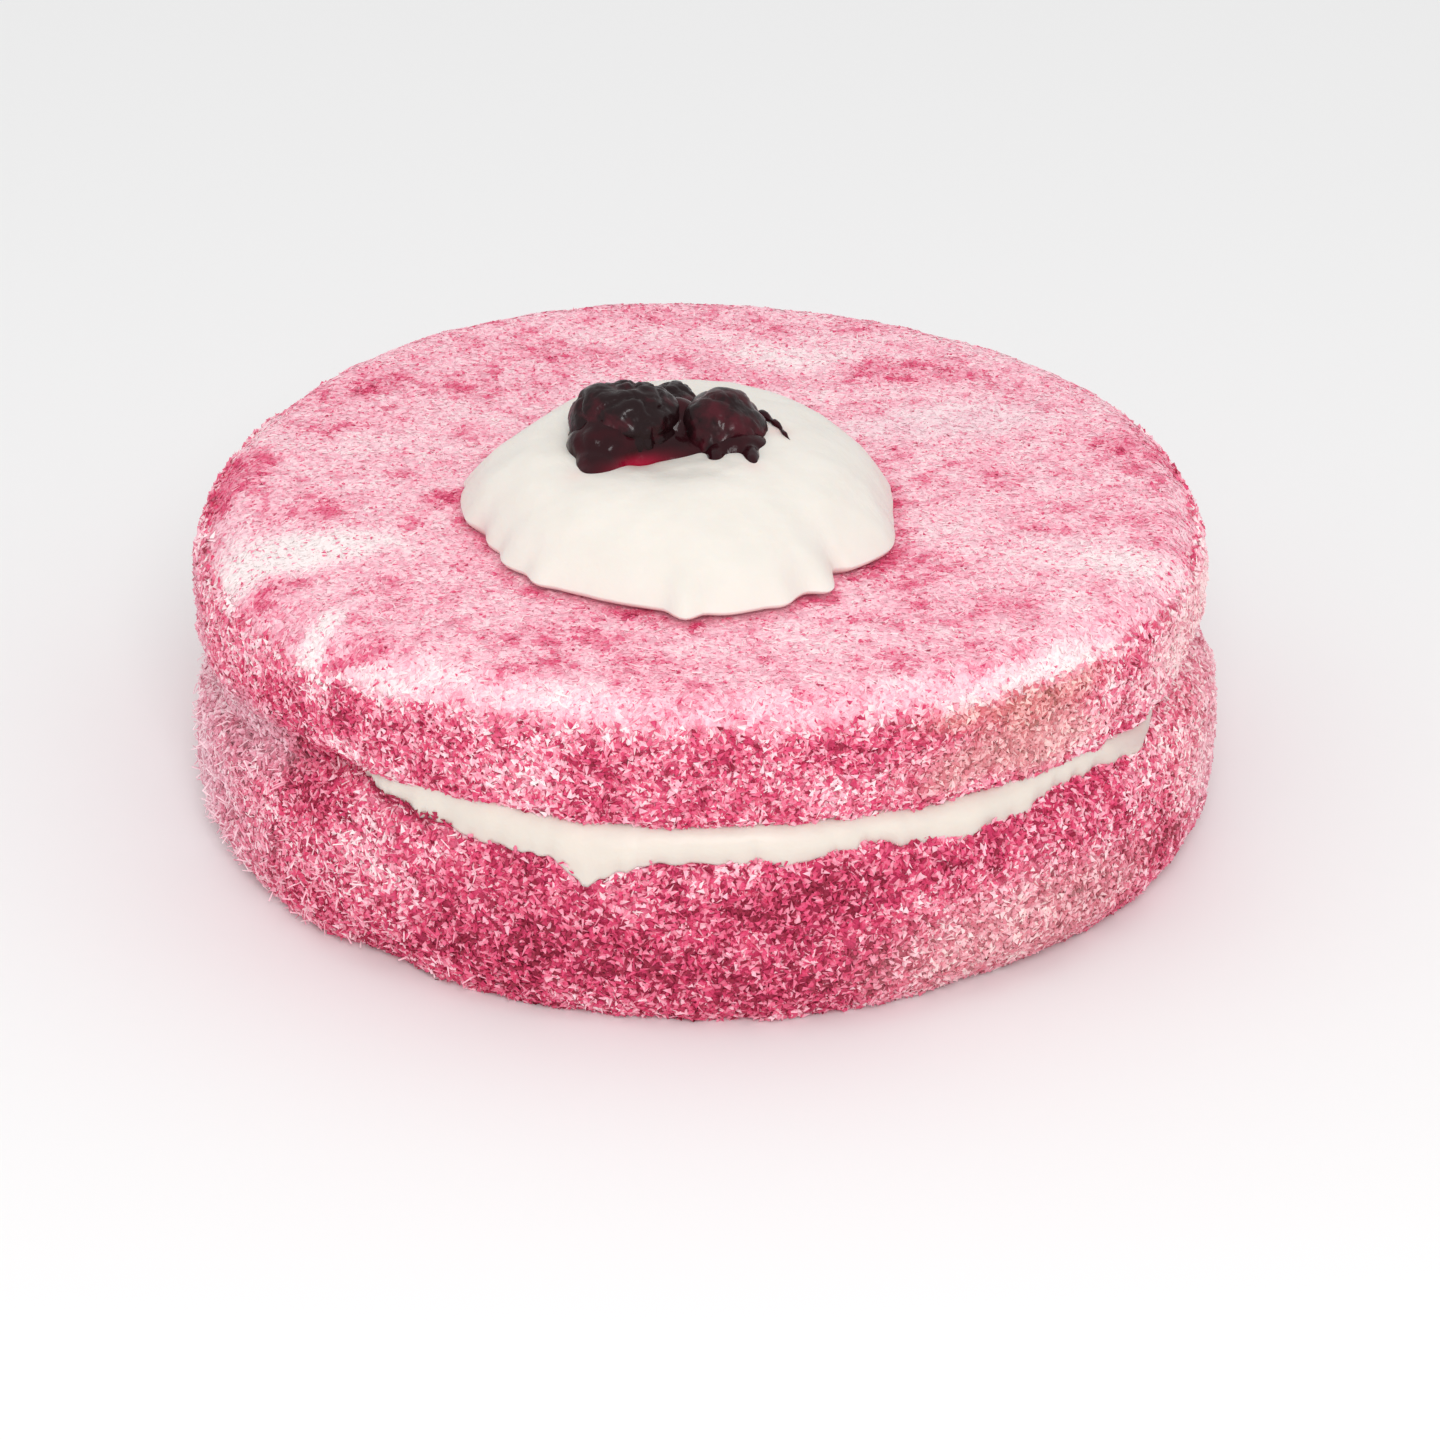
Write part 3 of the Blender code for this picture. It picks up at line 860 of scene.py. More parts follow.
@dataclass(frozen=True)
class CoatPattern:
    """How the coat's colours change from place to place."""

    dollop: Dollop
    palette: Palette = Palette()
    blotches: SlowNoise = SlowNoise(31, 15.0)
    mottle: SlowNoise = SlowNoise(32, 5.0)
    wander: Noises = (SlowNoise(33, 9.0, 5), SlowNoise(34, 3.2, 4))
    top_wander: float = 0.6
    # juice stain and painted contact shadow: a patchy darker ring on the top's coat round the dollop's
    # edge
    juice_and_shade_reach: float = 2.2
    juice_and_shade_depth: float = 0.18
    juice_and_shade_mottle: float = 0.3
    spots: Noises = (SlowNoise(35, 1.9, 0.7, 64), SlowNoise(36, 3.6, 0.4, 64))
    spot_edges: Spot = (0.17, 0.36)
    spot_depth: float = 0.42
    spotted_ground: Spot = (0.50, 0.84)
    least_spots: float = 0.10
    soft_rim: Hump = Hump(-40, 26, 0.20)

    def rising(self, points: Array, facing: Array) -> Array:
        """Adds to how far the coat faces up, at the left, where the top's coat runs over."""
        return facing + self.soft_rim.at(bearings_of(points))

    def read(self, points: Array, region: Region) -> Array:
        """Gives the coat's look.

        Args:
            points: Points on the coat.
            region: The part of the coat that they lie on.

        Returns:
            Rows of how pale, how mauve and how toasted it is at each point.
        """
        on_top = region is Region.TOP
        shift = summed(self.wander, points) * (self.top_wander if on_top else 1)
        first = points[:, 0] + shift if on_top else bearings_of(points) + shift / 2
        second = points[:, 1] + shift / 2 if on_top else points[:, 2] + shift / 3
        mottle = self.mottle.at(points)
        look = np.zeros((3, len(points)))
        look[0] = region.base + region.blotch * self.blotches.at(points) + region.mottle * mottle
        for stain in TOP_STAINS if on_top else SIDE_STAINS:
            across = first - stain.place[0] if on_top else turned_away(first, stain.place[0])
            change = np.array([[stain.paler], [stain.mauve], [stain.toasted]])
            look += change * stain.share(across, second - stain.place[1])
        if on_top:
            # juice stain and painted contact shadow: darker coat in a patchy ring along the dollop's
            # edge
            past = self.dollop.reach_past(points) / self.juice_and_shade_reach
            patchy = np.clip(self.juice_and_shade_depth + self.juice_and_shade_mottle * mottle, 0, 1)
            look[0] -= patchy * np.exp(-(past**2))
            gathered = 1 - (1 - self.least_spots) * smooth_step(*self.spotted_ground, look[0])
            spotted = smooth_step(*self.spot_edges, summed(self.spots, points))
            look[0] -= self.spot_depth * gathered * spotted
        return look

    def blended(self, points: Array, region: Region, up: Array | float) -> Array:
        """Gives the look of a region, with the top's look by a share."""
        return self.read(points, Region.TOP) * up + self.read(points, region) * (1 - up)


class Cut(Enum):
    """How a bit of coconut is shaped: its cross-sections as shares of its length and width."""

    CRUMB = ((0.0, 0.0), (0.45, 1.0), (1.0, 0.0))
    CHIP = ((0.0, 1.0), (1.0, 0.0))
    CURL = ((0.0, 0.7), (0.5, 1.0), (1.0, 0.5))

    def faces(self) -> Array:
        """Gives the triangles of one bit. A section has three corners, or one if it has no width.

        Returns:
            Rows of three point numbers.
        """
        rings: list[tuple[int, ...]] = []
        for _, width in self.value:
            first = rings[-1][-1] + 1 if rings else 0
            rings.append(tuple(range(first, first + (3 if width else 1))))
        found: list[tuple[int, ...]] = []
        for low, high in zip(rings, rings[1:]):
            for here, there in ((0, 1), (1, 2), (2, 0)):
                if len(low) > 1:
                    found.append((low[here], low[there], high[there % len(high)]))
                if len(high) > 1:
                    found.append((low[here % len(low)], high[there], high[here]))
        found += [end for end in (rings[0][::-1], rings[-1]) if len(end) > 1]
        return np.array(found)


@dataclass(frozen=True)
class ShredKind:
    """One kind of bit in the coat, and how it lies.

    Its length, width and lean are each from a range. sunk is the share of the length that lies
    behind the place where it stands, and curl how far its middle stands off a straight line.
    follows is how closely its colour follows the pattern.
    """

    name: str
    count: int
    length: Spot
    width: Spot
    lean: Spot
    paler: float
    spread: float
    thickness: float
    lift: float
    cut: Cut = Cut.CHIP
    curl: float = 0.0
    sunk: float = 0.30
    follows: float = 1.0


@dataclass
class Coat:
    """The coconut coat of one region of a layer."""

    region: Region
    skin: Skin
    node: str
    pattern: CoatPattern
    finish: Material
    seed: int
    roll: float = 0.5
    ragged: float = 0.2
    uneven_width: Spot = (0.7, 1.2)
    uneven_thickness: Spot = (0.7, 1.3)
    paler_tip: float = 0.12
    palest_stray: float = 1.35
    turns_up: Spot = (0.30, 0.70)
    floor: float = 0.05

    def strewn(self, kind: ShredKind, weight: Array) -> Piece:
        """Strews one kind of bit over the region.

        Args:
            kind: The kind.
            weight: How thickly they lie, for each point of the skin.

        Returns:
            One piece with all of them.
        """
        rng = np.random.default_rng([self.seed, len(kind.name), kind.count])
        each = (kind.count, 1)
        place, normal = self.skin.scattered(kind.count, weight, rng)
        place = place + normal * rng.uniform(0, kind.lift, each)
        across = unit(np.cross(normal, rng.normal(size=(kind.count, 3))))
        lean = np.radians(rng.uniform(*kind.lean, each))
        along = across * np.cos(lean) + normal * np.sin(lean)
        up = normal * np.cos(lean) - across * np.sin(lean)
        roll = rng.normal(0, self.roll, each)
        side = np.cross(up, along)
        up, side = up * np.cos(roll) + side * np.sin(roll), side * np.cos(roll) - up * np.sin(roll)
        length = rng.uniform(*kind.length, each)
        width = rng.uniform(*kind.width, each)
        bent = kind.curl * rng.normal(0, 1, each)
        corners: list[Array] = []
        shares: list[float] = []
        for share, full in kind.cut.value:
            centre = place + along * length * (share - kind.sunk)
            centre = centre + (side * bent + up * abs(bent)) * (1 - (2 * share - 1) ** 2)
            section = [centre]
            if full:
                half = side * width / 2 * full * rng.uniform(*self.uneven_width, each)
                half = half - along * rng.normal(0, self.ragged, each) * width
                peak = up * kind.thickness * rng.uniform(*self.uneven_thickness, each)
                section = [centre - half, centre + half, centre + peak]
            corners += section
            shares += [share] * len(section)
        points = np.stack(corners, axis=1).reshape(-1, 3)
        points[:, 2] = np.maximum(points[:, 2], self.floor)
        first = np.arange(kind.count)[:, None, None] * len(shares)
        bits = Skin(points, (kind.cut.faces() + first).reshape(-1, 3))
        colours = self.colours(kind, place, normal[:, 2], np.array(shares), rng)
        name = f"{self.region.label}_{kind.name}"
        piece = bits.to_piece(name, self.finish, colours, smooth=False)
        return dressed(piece, self.node)

    def colours(
        self, kind: ShredKind, place: Array, facing: Array, shares: Array, rng: np.random.Generator
    ) -> Array:
        """Gives each bit its colour, a little deeper at its root than at its tip.

        Args:
            kind: The kind of bit.
            place: Where each lies.
            facing: How far the coat faces up there.
            shares: How far along the bit each of its points is, from 0 to 1.
            rng: The source of the draws.

        Returns:
            Rows of red, green and blue, one for each point.
        """
        up = smooth_step(*self.turns_up, self.pattern.rising(place, facing))
        look = self.pattern.blended(place, self.region, up * (self.region is Region.UPPER_SIDE))
        followed = self.region.base + (look[0] - self.region.base) * kind.follows
        stray = np.minimum(rng.normal(0, kind.spread, kind.count), self.palest_stray * kind.spread)
        look[0] = followed + kind.paler + stray
        look = np.repeat(look, len(shares), axis=1)
        look[0] += self.paler_tip * (np.tile(shares, kind.count) - 0.5)
        return self.pattern.palette.colours(look)


@dataclass
class SpongeLayer:
    """A layer's body: the stained crumb that shows between the shreds."""

    form: Form
    pattern: CoatPattern
    material: Material
    name: str = ""
    node: str = ""
    region: Region = Region.LOWER_SIDE
    steps: int = 320
    inset: float = 0.8
    inset_level: float = 0.2
    level_edges: Spot = (0.8, 0.97)
    relief: Noises = (SlowNoise(41, 7.0, 0.5), SlowNoise(42, 3.2, 0.5))
    deeper_top: float = 0.04
    deeper_side: float = 0.16
    covered: Spot = (0.2, 1.5)

    def shaped(self) -> tuple[Skin, Array, Array]:
        """Draws the layer in under its coat, and gives it the coat's uneven relief.

        Returns:
            The surface, the share of the coat that lies on each point, and how far each faces up.
        """
        smooth = self.skin()
        exposed = self.exposed(smooth.points)
        facing = smooth.normals()[:, 2]
        level = smooth_step(*self.level_edges, facing)
        depth = self.inset + (self.inset_level - self.inset) * level
        relief = summed(self.relief, smooth.points) * (1 - level / 2)
        return smooth.swollen(exposed * (relief - depth)), exposed, facing

    def above_seam(self, points: Array) -> Array:
        """Gives how far points lie above the seam."""
        sag = self.form.sag_at(radii_of(points), bearings_of(points))
        return points[:, 2] - self.form.seam + sag

    def built(self, skin: Skin, on_top: Array) -> Piece:
        """Makes the piece, in colours deeper than the coat's.

        Args:
            skin: The layer's surface.
            on_top: The share of the top's colours at each point.

        Returns:
            The piece.
        """
        look = self.pattern.blended(skin.points, self.region, on_top)
        look[0] -= self.deeper_side + (self.deeper_top - self.deeper_side) * on_top
        colours = self.pattern.palette.colours(look)
        return dressed(skin.to_piece(self.name, self.material, colours), self.node)


@dataclass
class LowerLayer(SpongeLayer):
    """The lower sponge layer."""

    name: str = "lower_layer"
    node: str = "lower_layer"
    seed: int = 4
    fuzzy_left: Spot = (0.2, 0.9)
    bits: tuple[ShredKind, ...] = (
        ShredKind("crumbs", 44000, (0.9, 1.8), (1.0, 1.6), (0, 35), 0.05, 0.25, 0.7, 0.6),
        ShredKind("shreds", 6000, (1.3, 2.6), (0.5, 0.85), (5, 45), 0.16, 0.15, 0.4, 0.6),
        ShredKind("deep_crumbs", 14000, (0.9, 1.7), (0.9, 1.4), (0, 35), -0.22, 0.12, 0.6, 0.6),
        ShredKind(
            "long_shreds", 1000, (2.2, 4.4), (0.22, 0.4), (15, 60), 0.24, 0.12, 0.25, 0.4, Cut.CURL, 0.4
        ),
    )

    def skin(self) -> Skin:
        """Shapes the layer: a flat foot, a full side and a round shoulder at the seam.

        Returns:
            Its surface.
        """
        form, side = self.form, self.form.lower_radius
        profile = traced(
            (0.0, form.seam),
            (straight, (form.sag_starts, form.seam), 3),
            (straight, (form.sag_ends, form.seam), 8),
            (quarter, (side, form.seam - form.shoulder[1]), 12),
            (straight, (side, form.foot_edge[1]), 8),
            (quarter_back, (side - form.foot_edge[0], 0.0), 10),
            (straight, (0.0, 0.0), 4),
        )

        def place(radius: Array, height: Array, bearing: Array) -> tuple[Array, Array]:
            """Places a point, as Skin.turned asks."""
            tuck = rise(form.tucks, bearing) * (1 - smooth_step(0, form.tuck_reach, height))
            shift = np.sin(np.radians(bearing)) * form.lower_shift - tuck
            placed = form.at_rim(radius, bearing, self.seed, form.seam - height, shift)
            return placed, height - form.sag_at(placed, bearing) * height / form.seam

        return Skin.turned(profile, self.steps, place)

    def exposed(self, points: Array) -> Array:
        """Gives 1 where the coat lies on the layer, and 0 at its foot and its inner seam."""
        covered = smooth_step(*self.covered, -self.above_seam(points))
        return covered * smooth_step(0.0, 1.0, points[:, 2])


@dataclass
class UpperLayer(SpongeLayer):
    """The upper sponge layer."""

    name: str = "upper_layer"
    node: str = "upper_layer"
    region: Region = Region.UPPER_SIDE
    seed: int = 9
    top_crumb: Spot = (0.22, 0.60)
    top_bits: Spot = (0.30, 0.68)
    dollop_edge: Spot = (-1.5, 0.5)
    specks_gather: Spot = (0.44, 0.82)
    least_specks: float = 0.15
    top_roll: float = 0.12
    side_bits: tuple[ShredKind, ...] = (
        ShredKind("crumbs", 29000, (0.9, 1.8), (1.0, 1.6), (0, 35), 0.04, 0.23, 0.7, 0.6),
        ShredKind("shreds", 4500, (1.3, 2.5), (0.5, 0.85), (5, 40), 0.12, 0.13, 0.4, 0.6),
        ShredKind("deep_crumbs", 9500, (0.9, 1.7), (0.9, 1.4), (0, 35), -0.22, 0.12, 0.6, 0.6),
    )
    flat_bits: tuple[ShredKind, ...] = (
        ShredKind("flakes", 38000, (1.0, 2.0), (1.1, 1.7), (-1, 3), 0.035, 0.06, 0.12, 0.1),
        ShredKind("shreds", 4000, (1.4, 3.0), (0.35, 0.7), (-2, 8), 0.10, 0.08, 0.16, 0.2),
        ShredKind(
            "specks", 13000, (0.6, 1.2), (0.5, 0.95), (-1, 6), -0.20, 0.14, 0.2, 0.16, follows=0.4
        ),
    )

    def skin(self) -> Skin:
        """Shapes the layer: a flat top and round edges. It droops at the left.

        Returns:
            Its surface.
        """
        form, side, top = self.form, self.form.radius, self.form.height
        foot = form.seam + form.gap
        profile = traced(
            (0.0, top),
            (straight, (side - form.top_edge[0], top), 44),
            (quarter, (side, top - form.top_edge[1]), 10),
            (straight, (side, foot + form.seam_edge[1]), 7),
            (quarter_back, (side - form.seam_edge[0], foot), 8),
            (straight, (form.sag_starts, foot), 6),
            (straight, (0.0, foot), 3),
        )

        def place(radius: Array, height: Array, bearing: Array) -> tuple[Array, Array]:
            """Places a point, as Skin.turned asks."""
            placed = form.at_rim(radius, bearing, self.seed, height - foot)
            from_top = (top - height) / (top - foot)
            droop = rise(form.droops, bearing) * smooth_step(form.droop_starts, side, radius)
            sag = form.sag_at(placed, bearing) * from_top
            return placed, height - droop * (1 - from_top) - sag

        return Skin.turned(profile, self.steps, place)

    def exposed(self, points: Array) -> Array:
        """Gives 1 where the coat lies on the layer, and 0 at the seam inside."""
        return smooth_step(*self.covered, self.above_seam(points) - self.form.gap)


@dataclass
class SeamCrumb(SpongeLayer):
    """The coat that closes the seam where the filling doesn't come out to the rim."""

    name: str = "seam_crumb"
    node: str = "lower_layer"
    centre_radius: float = 90.0
    reach: float = 6.6
    hidden_reach: float = 1.0
    half_height: float = 6.5
    sections: int = 20
    bits: tuple[ShredKind, ...] = (
        ShredKind("seam_crumbs", 6500, (0.9, 1.8), (1.0, 1.6), (0, 35), 0.10, 0.16, 0.7, 0.9),
    )

    def skin(self) -> Skin:
        """Shapes the ring as a closed disc with a round edge in the seam.

        Returns:
            Its surface.
        """
        form = self.form
        turn = np.linspace(0, np.pi, self.sections)
        rim = np.stack([np.sin(turn), np.cos(turn)], axis=-1)

        def place(across: Array, along: Array, bearing: Array) -> tuple[Array, Array]:
            """Places a point, as Skin.turned asks."""
            shown = form.shown(bearing)
            reach = self.reach + (self.hidden_reach - self.reach) * shown
            height = self.half_height * (1 - 0.9 * shown) * along
            radius = self.centre_radius + np.where(across < 0, -self.centre_radius, across * reach)
            seam = form.seam - form.sag_at(form.radius, bearing)
            return radius, seam + height * np.clip(radius / self.centre_radius, 0, 1)

        return Skin.turned(np.vstack([(-1.0, 1.0), rim, (-1.0, -1.0)]), self.steps, place)

    def exposed(self, points: Array) -> Array:
        """Gives 1 where the coat lies on the ring: only where the filling is hidden."""
        outside = smooth_step(self.centre_radius, self.centre_radius + 3, radii_of(points))
        return outside * (1 - self.form.shown(bearings_of(points)))


@dataclass
class CreamFilling:
    """The cream between the layers. Its edge swells out at the front and runs over the coat."""

    form: Form
    material: Material
    steps: int = 640
    inner_radii: tuple[float, ...] = (0.0, 20.0, 40.0, 60.0, 70.0, 80.0, 86.0)
    hidden_radius: float = 89.0
    bead_rings: int = 17
    upper_contact: float = 41.9
    tucked: float = 96.4
    upper_humps: Humps = (Hump(-28, 14, 2.2), Hump(45, 15, 2.2), Hump(64, 12, 2.4))
    lower_lip: float = 34.7
    lip_humps: Humps = (
        *(Hump(-11.6, 3.8, -4.2), Hump(-15.0, 3.0, -1.0), Hump(-7.0, 4.0, -1.6)),
        *(Hump(-46, 22, 3.4), Hump(18, 9, 1.0), Hump(29, 4.5, -1.4), Hump(46, 13, 2.0)),
        *(Hump(66, 10, 5.0), Hump(141, 8, -3.5), Hump(225, 7, -2.4)),
    )
    thinnest: float = 0.8
    bulge: float = 1.5
    narrow: Humps = (Hump(77, 21, 0.85), Hump(-49, 10, 0.6))
    ragged: Noises = (SlowNoise(51, 4.0), SlowNoise(52, 1.8, 0.6))
    folds: SlowNoise = SlowNoise(53, 11.0, 0.4)
    fold_stretch: float = 1.6
    blush: SlowNoise = SlowNoise(54, 9.0)
    blush_height: float = 1.6
    smear: Hump = Hump(29, 10, 0.5)
    # painted shade: a pinkish grey high on the cream's right end, under the upper layer
    shaded_right_end: Hump = Hump(57, 9, 0.9)
    lip_colour: Rgb = (0.98, 0.62, 0.66)
    end_shade_colour: Rgb = (0.84, 0.70, 0.74)
    fleck_band: float = 0.9
    right_flecks: Hump = Hump(50, 12, 0.08)
    left_flecks: Hump = Hump(-38, 14, 1.0)
    flecks: tuple[ShredKind, ...] = (
        ShredKind("flecks", 900, (1.0, 2.2), (0.6, 1.1), (0, 30), 0.05, 0.2, 0.4, 0.3, Cut.CRUMB),
        # flecks of the coat on the cream's lower lip at the left, made deep crimson: painted shade for
        # the gap under the cream
        ShredKind("stained_flecks", 700, (1.0, 2.0), (0.7, 1.2), (0, 30), -0.38, 0.08, 0.4, 0.3),
    )

    def edge(self, bearing: Array) -> tuple[Array, Array]:
        """Gives the heights between which the cream shows.

        Args:
            bearing: Bearings.

        Returns:
            The upper and the lower height at each.
        """
        sag = self.form.sag_at(self.form.radius, bearing)
        upper = self.upper_contact + rise(self.upper_humps, bearing) - sag
        lower = self.lower_lip + rise(self.lip_humps, bearing) - sag
        lower = lower + summed(self.ragged, round_axis(100.0, 38.0, bearing))
        lower = np.minimum(lower, upper - self.thinnest)
        narrow = rise(self.narrow, bearing)
        seam = self.form.seam - sag
        return upper + (seam - upper) * narrow, lower + (seam - lower) * narrow

    def disc_ring(self, radius: float, depth: float, bearing: Array) -> Array:
        """Gives a ring of the hidden disc, at a depth under its top."""
        seam = self.form.seam - self.form.sag_at(radius, bearing)
        return round_axis(radius, seam - depth, bearing)

    def skin(self) -> Skin:
        """Shapes the filling: a full disc, with a bead round its edge.

        Returns:
            Its surface.
        """
        form = self.form
        bearing = np.arange(self.steps) * 360 / self.steps
        shown = form.shown(bearing)
        upper, lower = self.edge(bearing)
        lower_radius = form.shoulder_radius(lower + form.sag_at(form.radius, bearing))
        rings = [self.disc_ring(radius, 0.0, bearing) for radius in self.inner_radii]
        for share in np.linspace(0, 1, self.bead_rings):
            height = upper + (lower - upper) * share
            radius = self.tucked + (lower_radius - self.tucked) * share**0.5
            fold = self.folds.at(round_axis(form.radius, height * self.fold_stretch, bearing))
            swell = self.bulge * np.sin(np.pi * share**0.8) * (1 + fold)
            reach = self.hidden_radius + (radius + swell - self.hidden_radius) * shown
            level = form.seam - form.sag_at(reach, bearing) - form.filling * share
            rings.append(round_axis(reach, level + (height - level) * shown, bearing))
        rings += [self.disc_ring(radius, form.filling, bearing) for radius in self.inner_radii[::-1]]
        return Skin.closed(rings[0].mean(0), np.stack(rings[1:-1]), rings[-1].mean(0))

    def tints(self, skin: Skin) -> Array:
        """Gives the cream its tints: pink stains along its lower lip and in a smear, and painted shade,
        a pinkish grey, high on its right end.

        Args:
            skin: The filling's surface.

        Returns:
            Rows of red, green and blue to multiply the cream with.
        """
        bearing = bearings_of(skin.points)
        above = skin.points[:, 2] - self.edge(bearing)[1]
        lip = 0.6 * (1 - smooth_step(0.0, self.blush_height, above))
        smear = self.smear.at(bearing) * (1 - smooth_step(2, 6, above))
        pink = np.clip((lip + smear) * np.clip(self.blush.at(skin.points) + 0.2, 0, 1), 0, 1)
        # painted shade: a pinkish grey over the cream's upper part at its right end, under the upper
        # layer
        end = self.shaded_right_end.at(bearing) * smooth_step(1.4, 3.6, above)
        return tinted(pink, self.lip_colour) * tinted(end, self.end_shade_colour)

    def fleck_weight(self, skin: Skin) -> Array:
        """Gives how thickly flecks of the coat lie on the cream.

        Args:
            skin: The filling's surface.

        Returns:
            The weight at each point: most along the lower lip, some at the right.
        """
        bearing = bearings_of(skin.points)
        above = skin.points[:, 2] - self.edge(bearing)[1]
        outside = smooth_step(95.0, 97.0, radii_of(skin.points)) * self.form.shown(bearing)
        lip = np.exp(-((above / self.fleck_band) ** 2)) + self.right_flecks.at(bearing)
        return lip * outside * smooth_step(-1.0, 0.0, above)

    def built(self, skin: Skin) -> Piece:
        """Makes the piece from the filling's surface."""
        piece = skin.to_piece("cream_filling", self.material, self.tints(skin))
        return dressed(piece, "cream_filling")


@dataclass
class Dollop:
    """The dollop of cream on the top."""

    form: Form
    centre: Spot = (-5.0, -12.0)
    radius: float = 42.0
    height: float = 17.6
    steps: int = 300
    rings: int = 46
    rim: float = 0.95
    fullness: float = 3.6
    roundness: float = 0.8
    undercut: float = 1.2
    lobes: Humps = (
        *(Hump(12, 44, 9.6), Hump(-28, 28, 4.0), Hump(60, 24, 4.6)),
        *(Hump(-120, 30, -7.0), Hump(150, 32, 5.0)),
    )
    tips: Humps = (
        *(Hump(2, 5, 3.2), Hump(24, 5, 1.2), Hump(36, 6, 4.2), Hump(44, 4, -1.8)),
        *(Hump(-34, 6, 1.4), Hump(-46, 7, 1.6), Hump(-66, 9, -1.8), Hump(-98, 5, 1.5)),
        Hump(-116, 9, 5.0),
    )
    lobe_reach: float = 4.0
    tip_reach: float = 16.0
    ragged: SlowNoise = SlowNoise(61, 4.0, 0.45)
    fold: float = 0.12
    fold_turns: int = 3
    fold_length: float = 8.0
    folds: Noises = (SlowNoise(62, 9.0, 0.55), SlowNoise(63, 3.5, 0.18))
    fold_starts: float = 8.0
    dent_depth: float = 4.4
    dent_radius: float = 26.0
    dent_centre: Spot = (-9.0, -17.0)
    blush: float = 0.35
    blush_height: Spot = (0.4, 2.6)
    blush_colour: Rgb = (0.98, 0.70, 0.72)
    juice_spots: tuple[tuple[float, float, float, float], ...] = (
        (14.2, -13.5, 2.4, 0.6),
        (-24.0, -30.0, 2.5, 0.3),
        (9.5, -28.0, 2.0, 0.4),
    )
    juice_height: Spot = (8.0, 10.0)

    def outline(self, bearing: Array) -> Array:
        """Gives the dollop's reach from its own middle, at bearings round it."""
        ragged = self.ragged.at(round_axis(self.radius, 0.0, bearing))
        return self.radius + rise(self.lobes + self.tips, bearing) + ragged

    def reach_past(self, points: Array) -> Array:
        """Gives how far points lie outside the outline, or inside it where negative."""
        moved = points - np.array([*self.centre, 0.0])
        return radii_of(moved) - self.outline(bearings_of(moved))

    def skin(self) -> Skin:
        """Shapes the dollop: a low mound, dented where the berries lie.

        Returns:
            Its surface.
        """
        share = np.sin(np.linspace(0, np.pi / 2, self.rings + 1))
        mound = self.height * (1 - self.rim * share**self.fullness) ** self.roundness
        edge = (self.radius - 0.3, mound[-1] / 2)
        under = [(radius, 0.0) for radius in (self.radius - self.undercut, self.radius / 2, 0.0)]
        profile = np.vstack([np.stack([self.radius * share, mound], axis=-1), edge, under])
        base = np.array([*self.centre, self.form.height + self.form.gap])
        dented = np.array([*self.dent_centre, 0.0])

        def place(radius: Array, height: Array, bearing: Array) -> tuple[Array, Array]:
            """Places a point, as Skin.turned asks."""
            share = radius / self.radius
            broad = rise(self.lobes, bearing)
            narrow = self.outline(bearing) - self.radius - broad
            placed = radius + broad * share**self.lobe_reach + narrow * share**self.tip_reach
            spot = round_axis(placed, height, bearing)
            away = radii_of(spot + base - dented)
            dent = self.dent_depth * (1 - smooth_step(0, self.dent_radius, away))
            phase = self.fold_turns * np.radians(bearing) + placed / self.fold_length
            fold = self.fold * np.sin(phase) + summed(self.folds, spot)
            return placed, height + smooth_step(0, self.fold_starts, height) * (fold - dent)

        mounded = Skin.turned(profile, self.steps, place)
        return Skin(mounded.points + base, mounded.triangles)

    def built(self, material: Material) -> Piece:
        """Makes the piece, with a faint blush at its rim and where juice has run.

        Args:
            material: The cream.

        Returns:
            The piece.
        """
        skin = self.skin()
        above = skin.points[:, 2] - self.form.height
        blush = self.blush * (1 - smooth_step(*self.blush_height, above))
        for x, y, reach, depth in self.juice_spots:
            away = radii_of(skin.points - np.array([x, y, 0.0])) / reach
            blush += depth * np.exp(-(away**2)) * smooth_step(*self.juice_height, above)
        tint = tinted(np.clip(blush, 0, 1), self.blush_colour)
        return dressed(skin.to_piece("cream_dollop", material, tint), "cream_dollop")


@dataclass
class Ball:
    """A ball of named half sizes, dented by noise. Its centre is over the cake's top."""

    centre: tuple[float, float, float]
    half_sizes: tuple[float, float, float]
    turn: float
    lump: float
    seed: int
    crease: float = 0.0
    crease_size: float = 3.0
    steps: int = 72
    lump_size: float = 0.75
    most_swell: float = 1.05
    fine_crease: float = 0.25

    def folds(self, points: Array, finer: int) -> Array:
        """Gives creases from 0 to 1, at their own size over a whole number."""
        noise = SlowNoise(self.seed + finer, self.crease_size / finer).at(points)
        return np.clip(1 - 2 * np.abs(noise), 0, 1) ** 2

    def skin(self, top: float) -> Skin:
        """Shapes the ball.

        Args:
            top: The height of the cake's top.

        Returns:
            Its surface.
        """
        polar = np.linspace(0, np.pi, self.steps // 2 + 1)
        profile = np.stack([np.sin(polar), np.cos(polar)], axis=-1)
        ball = Skin.turned(profile, self.steps, lambda radius, height, _: (radius, height))
        direction = unit(ball.points)
        lumps = SlowNoise(self.seed, self.lump_size, self.lump).at(direction)
        points = direction * (np.array(self.half_sizes) + lumps[:, None])
        far = np.linalg.norm(points, axis=1, keepdims=True)
        points = points * np.minimum(1, self.most_swell * max(self.half_sizes) / far)
        depth = self.folds(points, 1) + self.fine_crease * self.folds(points, 2)
        ball = Skin(points, ball.triangles).swollen(-self.crease * depth)
        cos, sin = np.cos(np.radians(self.turn)), np.sin(np.radians(self.turn))
        spin = np.array([[cos, -sin, 0], [sin, cos, 0], [0, 0, 1]])
        return Skin(ball.points @ spin.T + self.centre + np.array([0, 0, top]), ball.triangles)


